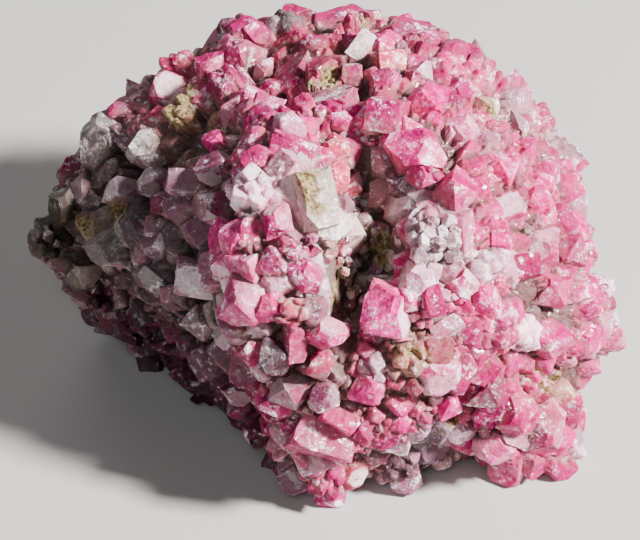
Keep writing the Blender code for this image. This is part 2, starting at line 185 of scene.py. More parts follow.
def mesh_piece(name, points, faces, material, smooth=True, sharp_deg=None, **attributes):
    """A mesh object from arrays, in millimetres: points (V, 3), faces (F, 3 or 4), and per-point colours or
    numbers by name. Edges that turn by more than sharp_deg stay sharp."""
    mesh = bpy.data.meshes.new(name)
    mesh.vertices.add(len(points))
    mesh.vertices.foreach_set("co", (points * MM).astype(np.float32).ravel())
    sides = faces.shape[1]
    mesh.loops.add(faces.size)
    mesh.loops.foreach_set("vertex_index", faces.astype(np.int32).ravel())
    mesh.polygons.add(len(faces))
    mesh.polygons.foreach_set("loop_start", np.arange(0, faces.size, sides, dtype=np.int32))
    mesh.update(calc_edges=True)
    mesh.polygons.foreach_set("use_smooth", np.full(len(faces), smooth))
    for key, values in attributes.items():
        if values.ndim == 2:
            layer = mesh.attributes.new(key, "FLOAT_COLOR", "POINT")
            colours = np.concatenate([values, np.ones((len(values), 1))], axis=1)
            layer.data.foreach_set("color", colours.astype(np.float32).ravel())
        else:
            layer = mesh.attributes.new(key, "FLOAT", "POINT")
            layer.data.foreach_set("value", values.astype(np.float32))
    if sharp_deg:
        mesh.set_sharp_from_angle(angle=math.radians(sharp_deg))
    mesh.validate()
    piece = bpy.data.objects.new(name, mesh)
    piece.data.materials.append(material)
    bpy.context.scene.collection.objects.link(piece)
    print(name, len(points), "points", faces.shape[0] * (sides - 2), "triangles")
    return piece


# %% [markdown]
# ## The floor
# The specimen stands on a sheet of pale grey card, far larger than the camera's view. One flat square does:
# a curved sweep would only matter if the camera saw the horizon.

# %% Pale card
FLOOR_HALF = 600.0  # mm
CARD_GREY, CARD_ROUGHNESS = "#B9B6B2", 0.9

# Uncoated card: its fibres scatter light evenly, so the eye gets a soft shadow and no glare
floor_material = bpy.data.materials.new("pale_card")
floor_material.use_nodes = True
card = floor_material.node_tree.nodes["Principled BSDF"]
card.inputs["Base Color"].default_value = rgba(CARD_GREY)
card.inputs["Roughness"].default_value = CARD_ROUGHNESS
floor_corners = np.array([[-1, -1, 0], [1, -1, 0], [1, 1, 0], [-1, 1, 0]]) * FLOOR_HALF
floor = mesh_piece("floor", floor_corners, np.array([[0, 1, 2, 3]]), floor_material, smooth=False)


# %% [markdown]
# ## Randomness that can be worked out anywhere
# Rock needs noise, and noise in arrays needs a random number for every cell of a grid that comes out the
# same each time. Multiplying and shifting a cell's whole numbers gives one, and blending the corners of a
# cell gives soft noise. Blender's own noise takes one point at a time, too slow for half a million.

# %% Noise
def cell_number(cell, seed):
    """A random number from 0 to 1 for each cell: its whole numbers mixed by multiplying and shifting."""
    c = cell.astype(np.int64)
    mixed = (c[..., 0] * 73856093) ^ (c[..., 1] * 19349663) ^ (c[..., 2] * 83492791) ^ (seed * 265443577)
    mixed = ((mixed ^ (mixed >> 13)) * 1274126177) & 0x7FFFFFFF
    mixed = ((mixed ^ (mixed >> 15)) * 668265263) & 0x7FFFFFFF
    return (mixed ^ (mixed >> 14)) / 0x7FFFFFFF


def soft_noise(points, seed):
    """From -1 to 1: the random numbers at the eight corners of each point's cell, blended smoothly."""
    cell = np.floor(points)
    part = points - cell
    part = part * part * (3.0 - 2.0 * part)
    total = np.zeros(len(points))
    for corner in product((0, 1), repeat=3):
        share = np.where(corner, part, 1.0 - part).prod(axis=1)
        total += share * cell_number(cell + corner, seed)
    return 2.0 * total - 1.0


def rough_noise(points, seed, octaves=4):
    """Soft noise added to itself at twice the fineness and half the height, several times over."""
    total = np.zeros(len(points))
    for octave in range(octaves):
        total += soft_noise(points * 2.0 ** octave + 17.3 * octave, seed + octave) / 2.0 ** octave
    return total / 2.0


trial = rough_noise(np.arange(3000.0).reshape(-1, 3) * 0.37, 1)
print("rough noise runs from", trial.min().round(2), "to", trial.max().round(2))


# %% [markdown]
# ## A ball of directions
# Both the rock and each crystal are closed shapes seen from a point inside them, so each is a distance for
# every direction. A cube blown up into a ball gives directions without the pinched poles of a globe.

# %% Directions on a cube blown up into a ball
def unit(vectors):
    """Vectors brought to a length of one."""
    return vectors / np.linalg.norm(vectors, axis=-1, keepdims=True)


def side_grids(cuts):
    """Unit directions (6, cuts + 1, cuts + 1, 3): a square grid on each side of a cube, its lines spaced by
    equal angles."""
    line = np.tan(np.linspace(-math.pi / 4, math.pi / 4, cuts + 1))
    u, v = np.meshgrid(line, line, indexing="ij")
    w = np.ones_like(u)
    sides = [(w, u, v), (-w, v, u), (v, w, u), (u, -w, v), (u, v, w), (v, u, -w)]
    return unit(np.stack([np.stack(side, axis=-1) for side in sides]))


def ball(cuts):
    """Unit directions (V, 3), quads (F, 4) and which grid point each direction was: the six grids with
    their shared edges merged."""
    points = side_grids(cuts).reshape(-1, 3)
    row = np.arange(cuts)
    first = (row[:, None] * (cuts + 1) + row[None, :]).ravel()
    quad = np.stack([first, first + cuts + 1, first + cuts + 2, first + 1], axis=1)
    faces = np.concatenate([quad + side * (cuts + 1) ** 2 for side in range(6)])
    keep, merged = np.unique(np.round(points, 6), axis=0, return_index=True, return_inverse=True)[1:]
    return points[keep], merged.reshape(-1)[faces], keep


for cuts in (3, 7, 10):
    print("a ball of", cuts, "cuts has", len(ball(cuts)[1]), "quads")

# %% [markdown]
# ## The rock's form
# The form is drawn through listed points, first around the outline as the show face is looked at, then
# over the show face, then round the back. They are the same points that the imported solid is built on,
# so the fine surface lies where the solid does.

# %% Relief points of the rock, as (across, up, towards the viewer) in millimetres
HEART = (3.5, 3.5, 9.0)  # a point well inside, from which every relief point can be seen
OUTLINE = [
    (-22.4, 2.5, -8.0), (-20.4, 5.2, -7.0), (-19.6, 8.2, -9.6), (-17.0, 11.6, -7.6),
    (-13.9, 14.1, -10.4), (-11.0, 16.4, -8.0), (-8.4, 18.3, -10.0), (-4.8, 19.0, -7.4),
    (-0.7, 19.5, -10.6), (4.1, 19.5, -8.2), (8.8, 18.7, -10.2), (12.2, 16.8, -7.0),
    (13.9, 14.0, -8.8), (16.6, 11.9, -6.2), (19.0, 8.0, -7.4), (19.8, 3.9, -5.0),
    (20.7, 0.7, -5.0), (22.4, -2.0, -4.0), (22.3, -5.0, -4.0), (20.9, -7.9, -4.0),
    (19.5, -9.8, -4.0), (19.2, -12.7, -4.0), (18.5, -15.2, -3.5), (17.2, -15.8, -3.0),
    (14.6, -15.4, -2.5), (11.7, -14.8, -2.8), (8.2, -15.7, -2.0), (3.4, -16.6, -1.5),
    (0.4, -17.2, -1.0), (-2.0, -16.6, -1.0), (-3.9, -14.2, -4.0), (-6.2, -11.4, -6.5),
    (-9.8, -8.8, -10.0), (-14.4, -6.6, -12.0), (-18.3, -3.1, -13.0), (-20.6, -0.5, -11.5),
]
SHOW_FACE = [
    # the tall left block: its crest, the flat plate on its right flank and its shaded left flank
    (-4.3, 9.9, 8.2), (-6.0, 5.6, 11.0), (-6.2, 1.6, 11.8), (-6.3, -2.4, 11.4), (-5.4, -5.4, 9.8),
    (-1.6, 7.6, 10.8), (1.8, 3.9, 10.0), (0.8, 1.2, 10.6), (-2.4, 2.4, 12.2), (0.0, -4.5, 12.0),
    (-8.6, 5.8, 6.0), (-8.8, 1.6, 6.2), (-8.4, -2.4, 6.6), (-10.8, 7.5, 3.0), (-11.0, 1.4, 3.2),
    # the deep valley down the middle, its left half and its right half
    (3.2, 9.4, 5.6), (3.5, 6.6, 3.8), (3.6, 3.4, 3.2), (3.4, 0.4, 4.0), (2.2, -2.6, 7.0), (2.4, -5.0, 9.6),
    (5.2, 6.2, 5.4), (5.5, 3.2, 4.8), (5.0, 0.4, 5.4),
    # the right block and the slope that runs from it to the right edge
    (7.8, 4.6, 12.2), (8.6, 1.2, 12.8), (7.2, -0.4, 12.4), (5.6, -2.6, 12.4), (8.2, -2.4, 11.8),
    (10.5, 6.0, 9.8), (7.6, 8.0, 9.4), (15.0, -4.5, 7.5), (13.5, -0.7, 9.0), (16.5, 3.0, 5.6),
    (18.0, 6.7, 1.0), (13.5, 8.2, 6.0), (15.0, 11.2, 1.0), (9.7, 13.5, 4.0), (10.5, 16.5, -1.0),
    # the top, with a pocket left of its middle
    (4.9, 12.3, 6.8), (1.5, 12.7, 5.4), (0.4, 16.5, 0.4), (-3.4, 14.6, -1.6), (-7.4, 14.6, -1.8),
    (-6.0, 17.4, -3.0), (6.0, 17.0, -0.4),
    # the left shoulder, down to the tip
    (-12.7, 11.2, -2.4), (-12.9, 4.5, 1.0), (-16.5, 6.7, -4.4), (-19.4, 3.0, -5.2), (-15.9, 1.3, -1.8),
    # the long ledge under the left shoulder, and the wall set back below it
    (-13.0, -1.0, 1.0), (-9.2, -3.8, 5.2), (-5.4, -6.8, 8.6), (-14.2, -3.0, -6.0), (-12.7, -5.2, -7.6),
    (-10.5, -6.2, -3.8), (-6.9, -9.4, -0.6),
    # the keel at the front foot
    (-2.2, -9.7, 9.0), (-1.5, -13.4, 6.6), (1.9, -13.4, 6.6), (-0.7, -15.6, 3.2), (2.2, -9.7, 10.2),
    (6.0, -9.4, 10.0), (9.0, -8.0, 9.8), (5.6, -11.4, 8.4), (3.0, -14.0, 5.6),
    # the hollow right of the keel
    (8.2, -12.9, 0.8), (6.2, -14.3, 0.8), (10.8, -11.8, 2.6),
    # the right foot, with a notch between it and the lobe above
    (12.0, -8.2, 8.0), (13.5, -11.2, 4.8), (15.4, -8.8, 3.6), (16.5, -13.4, 3.0), (13.5, -13.7, 2.2),
    (18.5, -12.7, 0.2), (17.8, -8.7, -0.8), (19.2, -5.2, 3.8), (18.0, -2.2, 4.6), (21.4, -3.7, 0.2),
    (16.6, -10.9, 3.6),
]
# The same for the sides that face away, as (x, y, height above the underside)
BACK_AND_UNDERSIDE = [
    # the upper back, which falls away behind the skyline
    (-16.5, 16.0, 14.5), (-11.0, 19.4, 16.6), (-5.5, 20.8, 18.2), (0.5, 21.8, 17.6), (6.0, 21.4, 18.8),
    (11.5, 19.6, 16.6), (16.0, 16.2, 14.2),
    # the middle of the back: a bulge, a dent on its left and a shelf on its right
    (-19.0, 13.6, 9.0), (-13.5, 18.6, 11.0), (-8.0, 19.2, 13.0), (-3.5, 22.0, 12.0), (2.0, 20.8, 13.0),
    (6.5, 22.2, 11.0), (11.0, 19.2, 11.6), (15.5, 16.6, 9.0), (19.4, 10.6, 9.6),
    # the foot of the back
    (-17.0, 13.0, 3.0), (-11.5, 17.4, 5.6), (-6.0, 19.6, 7.0), (-0.5, 19.0, 5.4), (4.5, 20.4, 5.6),
    (10.0, 17.2, 6.6), (14.6, 13.4, 3.4), (-13.0, 13.0, -2.0), (-4.0, 16.0, -1.6), (6.0, 16.4, -1.6),
    (12.6, 11.0, -2.0),
    # the right and the left flank
    (20.2, 6.0, 6.0), (18.6, 2.4, 1.4), (17.4, -2.4, -0.4), (-18.4, 9.2, 2.2), (-14.6, 6.4, -1.0),
    (-11.6, 2.8, 0.2),
    # the underside, before it is trimmed level
    (-7.0, 5.0, -3.0), (0.0, 0.0, -3.0), (9.0, -3.0, -3.0), (0.0, 10.0, -3.0), (9.0, 7.0, -3.0),
    (2.0, -8.6, -2.4),
]
print("relief points:", [len(table) for table in (OUTLINE, SHOW_FACE, BACK_AND_UNDERSIDE)])

# %% [markdown]
# The points are joined by triangles in the way that their directions from the heart lie on a ball, whose
# convex hull says which three are neighbours. Along any other direction the rock's surface is where the ray
# crosses its triangle.

# %% The cage and the distance to it
def rock_cage():
    """The relief points joined by the triangles that join their directions from the heart."""
    heart = Vector(HEART)
    places = [on_show_face(*place) for place in OUTLINE + SHOW_FACE]
    places += [Vector(place) for place in BACK_AND_UNDERSIDE]
    bm = bmesh.new()
    corners = {bm.verts.new((place - heart).normalized()): place for place in places}
    bmesh.ops.convex_hull(bm, input=bm.verts)
    for corner, place in corners.items():
        corner.co = place
    bmesh.ops.recalc_face_normals(bm, faces=bm.faces)
    return bm


HEART_AT = np.array(HEART)
cage = rock_cage()
cage_triangles = np.array([[corner.co[:] for corner in face.verts] for face in cage.faces])
print("the cage has", len(cage.verts), "points and", len(cage_triangles), "triangles")


def distance_to_cage(ways):
    """How far the cage lies from the heart along each direction: a direction is solved for as a sum of a
    triangle's three corners, the triangle that needs no negative share is the one crossed, and the
    distance is one over the sum of the shares."""
    shares = np.linalg.inv(np.swapaxes(cage_triangles - HEART_AT, 1, 2))
    far = np.zeros(len(ways))
    for start in range(0, len(ways), 20000):
        part = np.einsum("tij,vj->vti", shares, ways[start:start + 20000])
        inside = part.min(axis=2)
        crossed = inside.argmax(axis=1)
        total = part[np.arange(len(part)), crossed].sum(axis=1)
        far[start:start + 20000] = 1.0 / total
    return far


def soft_distance(ways, blur):
    """The distance averaged over a few directions leaning a little each way, which softens the creases."""
    leans = [(0, 0, 0)] + [tuple(lean) for lean in np.vstack([np.eye(3), -np.eye(3)]) * blur]
    total = 0.0
    for lean in leans:
        total = total + distance_to_cage(unit(ways + np.array(lean)))
    return total / len(leans)


print("from the heart the rock reaches", distance_to_cage(np.eye(3)).round(1), "mm along x, y and z")

# %% [markdown]
# ## Where the crystals sit
# The larger crystals are listed one by one where they look their size, each with a habit, a turn and a tint.
# The rest are strewn evenly over directions from the heart with seeded dice, in the order that the packed
# solid was strewn in, so both have the same crystals.

# %% Habits and tints
# A habit is how far off the middle the cube's and the octahedron's faces lie, as shares of half the size.
OCTAHEDRON, BLUNT, ROUNDED, BLOCK = (1.12, 0.7), (0.98, 0.8), (0.86, 0.98), (0.82, 1.3)
# the plum and slate tints are painted shade: dark colours for the wall under the ledge and the left tip,
# which lie in shade
TINTS = {
    "ruby": "#9E0E50", "vivid": "#E80A8E", "rose": "#CC187A", "pale": "#DA4092", "frost": "#F1C7DA",
    "salmon": "#CC5158", "lilac": "#8E6E7E", "mauve": "#6E4458", "grey": "#706769", "sand": "#A78B69",
    "olive": "#7A7038", "chalk": "#E8D2C6", "umber": "#A28E84", "plum": "#42222F", "slate": "#47413B",
}
RUBY, VIVID, ROSE, PALE, FROST, SALMON, LILAC, MAUVE, GREY, SAND, OLIVE, CHALK, UMBER, SHADE_PLUM, SHADE_SLATE = TINTS
print("habits: 4, tints:", ", ".join(TINTS))

# %% The crystals that stand out, as (across, up, size, habit, width to length, turn in degrees, tint)
SHOW_CRYSTALS = [
    # the top, from left to right
    (-11.1, 15.7, 2.4, ROUNDED, 0.9, 20, SALMON), (-7.3, 14.4, 2.7, ROUNDED, 0.8, 60, ROSE),
    (-9.3, 13.5, 2.3, BLOCK, 0.7, 15, VIVID), (-6.6, 18.3, 2.4, ROUNDED, 0.9, 0, LILAC),
    (-4.6, 17.6, 2.6, BLOCK, 0.7, -50, ROSE), (-2.6, 18.6, 3.2, ROUNDED, 0.8, 10, GREY),
    (2.2, 18.2, 2.7, ROUNDED, 0.9, 40, SALMON), (0.0, 15.1, 3.2, BLUNT, 0.9, 30, SALMON),
    (-2.2, 14.2, 2.3, OCTAHEDRON, 0.9, 0, ROSE), (0.7, 13.1, 4.4, BLOCK, 0.55, 4, RUBY),
    (1.5, 11.6, 2.8, OCTAHEDRON, 0.8, 35, VIVID), (5.1, 12.2, 3.4, BLOCK, 0.95, 8, VIVID),
    (4.9, 14.5, 2.5, BLUNT, 0.9, 20, ROSE), (5.2, 16.2, 3.0, BLOCK, 0.6, -12, SALMON),
    (6.6, 17.9, 5.0, BLUNT, 0.8, 25, PALE), (8.5, 12.9, 3.5, BLUNT, 0.9, 15, VIVID),
    (7.7, 15.0, 2.7, OCTAHEDRON, 0.8, 50, PALE), (-4.0, 12.1, 3.0, BLOCK, 0.85, -8, VIVID),
    (-7.9, 9.9, 2.6, OCTAHEDRON, 0.7, -20, VIVID), (-11.0, 12.0, 2.3, ROUNDED, 0.8, 70, OLIVE),
    # the left block, its pale plate and the rounded grains on its flank
    (-2.4, 9.5, 3.8, BLOCK, 0.75, -42, VIVID), (0.9, 9.2, 2.5, BLUNT, 0.8, 10, SALMON),
    (0.9, 7.2, 2.7, BLUNT, 0.85, 55, SALMON), (2.2, 6.4, 2.2, BLUNT, 0.75, 80, SALMON),
    (-1.2, 5.8, 5.2, BLOCK, 0.6, -52, CHALK), (0.9, 3.5, 2.9, ROUNDED, 0.8, 25, CHALK),
    (-4.9, 8.4, 3.0, BLUNT, 0.8, 30, PALE), (-5.4, 6.2, 3.6, BLUNT, 0.9, 20, FROST),
    (-6.6, 2.7, 3.2, OCTAHEDRON, 0.8, 75, VIVID), (-7.1, 0.4, 3.0, BLUNT, 0.75, -10, VIVID),
    (-6.0, -2.2, 4.6, OCTAHEDRON, 0.85, 15, PALE), (-4.2, -2.8, 2.6, BLUNT, 0.8, 40, ROSE),
    (-1.3, -0.5, 2.8, BLUNT, 0.85, -14, PALE), (-3.4, 3.6, 2.8, BLUNT, 0.9, 60, PALE),
    (-2.6, 1.9, 1.8, ROUNDED, 0.9, 0, ROSE), (-1.1, 1.9, 1.7, ROUNDED, 0.9, 30, PALE),
    (0.4, 1.5, 1.7, ROUNDED, 0.8, 60, SAND), (1.5, 1.9, 1.8, ROUNDED, 0.9, 15, SALMON),
    (1.5, 0.2, 1.7, ROUNDED, 0.9, 50, SAND), (-2.4, -3.2, 2.2, ROUNDED, 0.7, 5, SALMON),
    (-2.2, -5.6, 3.0, BLOCK, 0.5, 85, RUBY), (0.5, -4.9, 3.0, BLUNT, 0.8, 10, ROSE),
    (0.0, -7.5, 2.3, OCTAHEDRON, 0.9, 0, SALMON), (-3.5, -6.4, 3.6, OCTAHEDRON, 0.8, 65, MAUVE),
    # the valley
    (3.7, 4.6, 1.7, BLUNT, 0.9, 10, UMBER), (3.4, 2.2, 1.6, ROUNDED, 0.9, 40, UMBER),
    (4.3, 0.2, 2.4, BLOCK, 0.5, 35, LILAC), (2.7, -2.2, 1.8, ROUNDED, 0.9, 10, SAND),
    # the right block
    (7.4, 9.2, 4.2, BLUNT, 0.8, -20, ROSE), (6.2, 6.9, 3.2, OCTAHEDRON, 0.7, -30, MAUVE),
    (10.5, 6.1, 3.8, OCTAHEDRON, 0.8, 62, VIVID), (8.8, 2.4, 4.0, BLOCK, 0.8, 28, FROST),
    (6.6, 0.4, 2.8, OCTAHEDRON, 0.8, 40, ROSE), (5.3, -3.0, 4.6, OCTAHEDRON, 0.95, 28, PALE),
    (8.4, -2.2, 3.0, BLOCK, 0.5, 88, ROSE), (12.0, 3.6, 2.6, ROUNDED, 0.9, 0, PALE),
    (13.8, 2.6, 2.3, BLOCK, 0.8, 70, ROSE), (12.5, 0.3, 2.8, BLUNT, 0.8, 30, FROST),
    (10.9, -1.0, 2.3, BLUNT, 0.9, 5, PALE), (11.0, -2.7, 1.8, OCTAHEDRON, 0.9, 45, RUBY),
    (9.7, -4.5, 2.8, BLOCK, 0.5, 10, VIVID), (13.3, -4.6, 3.8, ROUNDED, 0.9, 20, PALE),
    (15.5, -4.9, 3.2, OCTAHEDRON, 0.8, 35, FROST), (9.2, -8.0, 3.8, BLUNT, 0.8, -25, ROSE),
    (4.5, -7.6, 2.4, BLUNT, 0.9, 20, FROST), (3.7, -9.2, 3.0, OCTAHEDRON, 0.85, 10, VIVID),
    (6.8, -7.0, 2.4, ROUNDED, 0.9, 0, SAND), (12.7, -9.2, 3.6, OCTAHEDRON, 0.9, 30, RUBY),
    (11.9, -6.6, 3.0, BLUNT, 0.8, 10, ROSE),
    # the keel and the hollow beside it
    (-2.4, -9.3, 3.2, OCTAHEDRON, 0.8, 20, MAUVE), (0.2, -9.8, 2.4, BLUNT, 0.9, 50, MAUVE),
    (1.2, -11.7, 3.2, BLOCK, 0.55, -14, RUBY), (-0.4, -13.4, 5.2, BLOCK, 0.55, 4, RUBY),
    (3.4, -12.2, 2.6, OCTAHEDRON, 0.8, 25, ROSE), (0.4, -16.3, 2.8, ROUNDED, 0.8, 10, PALE),
    (2.4, -15.8, 2.6, BLUNT, 0.8, 40, SALMON), (-2.2, -15.8, 2.6, BLOCK, 0.8, -30, LILAC),
    (9.9, -10.3, 2.6, OCTAHEDRON, 0.8, 70, VIVID), (10.7, -12.2, 2.5, BLUNT, 0.9, 15, LILAC),
    (8.6, -14.0, 3.2, BLUNT, 0.7, 20, LILAC), (5.8, -15.0, 3.0, ROUNDED, 0.7, 10, LILAC),
    # the right slope, from the top down, and the right foot
    (9.9, 16.6, 3.3, BLUNT, 0.8, 35, ROSE), (11.6, 15.4, 3.0, ROUNDED, 0.8, 0, PALE),
    (13.3, 14.2, 2.6, ROUNDED, 0.9, 0, ROSE), (10.6, 13.6, 2.8, BLUNT, 0.9, 70, ROSE),
    (12.5, 12.4, 2.6, OCTAHEDRON, 0.9, 15, SAND), (16.3, 11.7, 2.7, ROUNDED, 0.9, 0, PALE),
    (11.0, 10.9, 3.0, BLUNT, 0.8, 0, PALE), (13.5, 10.3, 2.6, ROUNDED, 0.9, 30, ROSE),
    (18.0, 9.0, 3.3, ROUNDED, 0.8, 0, FROST), (15.7, 9.0, 2.8, BLUNT, 0.8, 50, ROSE),
    (13.9, 7.6, 3.0, OCTAHEDRON, 0.9, 25, VIVID), (18.6, 6.5, 3.0, ROUNDED, 0.9, 0, PALE),
    (16.6, 5.4, 2.8, BLUNT, 0.9, 10, ROSE), (14.6, 4.8, 2.7, BLOCK, 0.8, 40, PALE),
    (19.3, 3.2, 2.8, BLUNT, 0.9, 0, ROSE), (17.4, 1.8, 3.2, BLUNT, 0.8, 65, PALE),
    (20.1, 1.0, 2.6, ROUNDED, 0.9, 0, PALE), (15.6, 0.2, 3.0, BLOCK, 0.7, 20, ROSE),
    (18.0, -1.4, 3.2, OCTAHEDRON, 0.9, 10, VIVID), (21.2, -2.0, 3.8, ROUNDED, 0.85, 0, PALE),
    (20.3, -5.2, 3.6, BLUNT, 0.8, 30, VIVID), (17.6, -5.4, 3.6, BLUNT, 0.75, 5, ROSE),
    (22.0, -5.2, 2.4, ROUNDED, 0.9, 0, VIVID), (20.4, -8.6, 2.6, OCTAHEDRON, 0.8, 30, PALE),
    (18.4, -9.4, 2.4, BLUNT, 0.9, 0, SAND), (15.2, -11.2, 3.6, BLUNT, 0.85, 20, ROSE),
    (17.3, -12.6, 3.6, BLUNT, 0.9, 60, VIVID), (18.9, -13.6, 2.8, BLOCK, 0.8, 85, FROST),
    (13.5, -13.6, 3.0, BLUNT, 0.9, 10, PALE), (16.4, -14.9, 3.0, OCTAHEDRON, 0.9, 0, ROSE),
    # the left shoulder, its big pale blocks and the wall under the ledge; their plum and slate tints are
    # painted shade, and the shoulder's lilac, mauve and grey are partly painted shade
    (-10.5, 6.9, 3.8, BLOCK, 0.6, 18, LILAC), (-12.9, 6.9, 3.0, BLUNT, 0.7, 0, LILAC),
    (-8.2, 7.9, 3.2, BLUNT, 0.8, 40, MAUVE), (-10.8, 4.6, 2.6, BLOCK, 0.8, -30, LILAC),
    (-9.3, 3.2, 3.3, BLOCK, 0.7, 30, LILAC), (-13.5, 9.7, 3.9, BLUNT, 0.7, 12, GREY),
    (-17.0, 9.9, 5.0, BLUNT, 0.85, 40, GREY), (-15.3, 6.0, 3.2, OCTAHEDRON, 0.8, 20, LILAC),
    (-19.8, 5.0, 3.4, BLUNT, 0.8, 50, SHADE_SLATE), (-16.3, 2.2, 3.8, BLOCK, 0.65, 25, GREY),
    (-20.6, 2.2, 3.0, ROUNDED, 0.8, 0, SHADE_SLATE), (-12.7, 1.9, 2.9, BLUNT, 0.8, 30, LILAC),
    (-9.7, -0.6, 4.8, BLOCK, 0.6, -28, LILAC), (-12.6, -0.6, 2.8, BLOCK, 0.6, -20, GREY),
    (-18.4, -0.2, 3.0, BLUNT, 0.8, 0, SHADE_SLATE), (-14.2, -4.3, 2.8, ROUNDED, 0.8, 0, SHADE_PLUM),
    (-11.2, -6.2, 2.8, ROUNDED, 0.8, 0, SHADE_PLUM), (-8.9, -7.3, 2.7, BLUNT, 0.8, 0, SHADE_PLUM),
    (-6.4, -9.5, 2.8, BLUNT, 0.8, 0, MAUVE), (-4.9, -12.6, 2.8, BLUNT, 0.8, 0, LILAC),
    (-16.8, -1.9, 2.6, ROUNDED, 0.9, 0, SHADE_PLUM),
]
print("crystals placed by hand:", len(SHOW_CRYSTALS))

# %% Strewing the rest
RIM_DEPTH = -6.0  # mm towards the viewer: where a crystal goes whose line of sight misses the rock
FILLER_DIRECTIONS = 346
FILLER_SIZE = (2.1, 3.7)  # mm
FILLER_GAP = 0.42  # of two crystals' sizes added: how close they may stand
PATCH = 6.0  # mm: how wide the bare patches are
BARE_BELOW = -0.12  # the noise under which a patch stays bare
SEED = 11


def crystal_sites(dice):
    """(place, outwards, size, habit, width, turn, tint or None) of every larger crystal."""
    skin = BVHTree.FromBMesh(cage)
    heart = Vector(HEART)
    viewpoint = on_show_face(0.0, 0.0, VIEW_DISTANCE)
    sites = []
    for across, up, size, habit, width, turn, tint in SHOW_CRYSTALS:
        place = skin.ray_cast(viewpoint, on_show_face(across, up, 0.0) - viewpoint)[0]
        if place is None:
            place = skin.find_nearest(on_show_face(across, up, RIM_DEPTH))[0]
        sites.append((place, (place - heart).normalized(), size, habit, width, turn, tint))
    golden = math.pi * (3.0 - math.sqrt(5.0))
    for step in range(FILLER_DIRECTIONS):
        height = 1.0 - 2.0 * (step + 0.5) / FILLER_DIRECTIONS
        ring = math.sqrt(1.0 - height * height)
        way = Vector((ring * math.cos(golden * step), ring * math.sin(golden * step), height))
        place = skin.ray_cast(heart, way)[0]
        size = dice.uniform(*FILLER_SIZE)
        habit = dice.choice([OCTAHEDRON, OCTAHEDRON, ROUNDED, BLOCK])
        width, turn = dice.uniform(0.6, 1.0), dice.uniform(0.0, 180.0)
        crowded = any((place - other[0]).length < FILLER_GAP * (size + other[2]) for other in sites)
        bare = noise.noise(place / PATCH) < BARE_BELOW
        if place.z > 0.0 and not crowded and not bare:
            sites.append((place, way, size, habit, width, turn, None))
    return sites


dice = random.Random(SEED)
sites = crystal_sites(dice)
print("larger crystals:", len(sites))
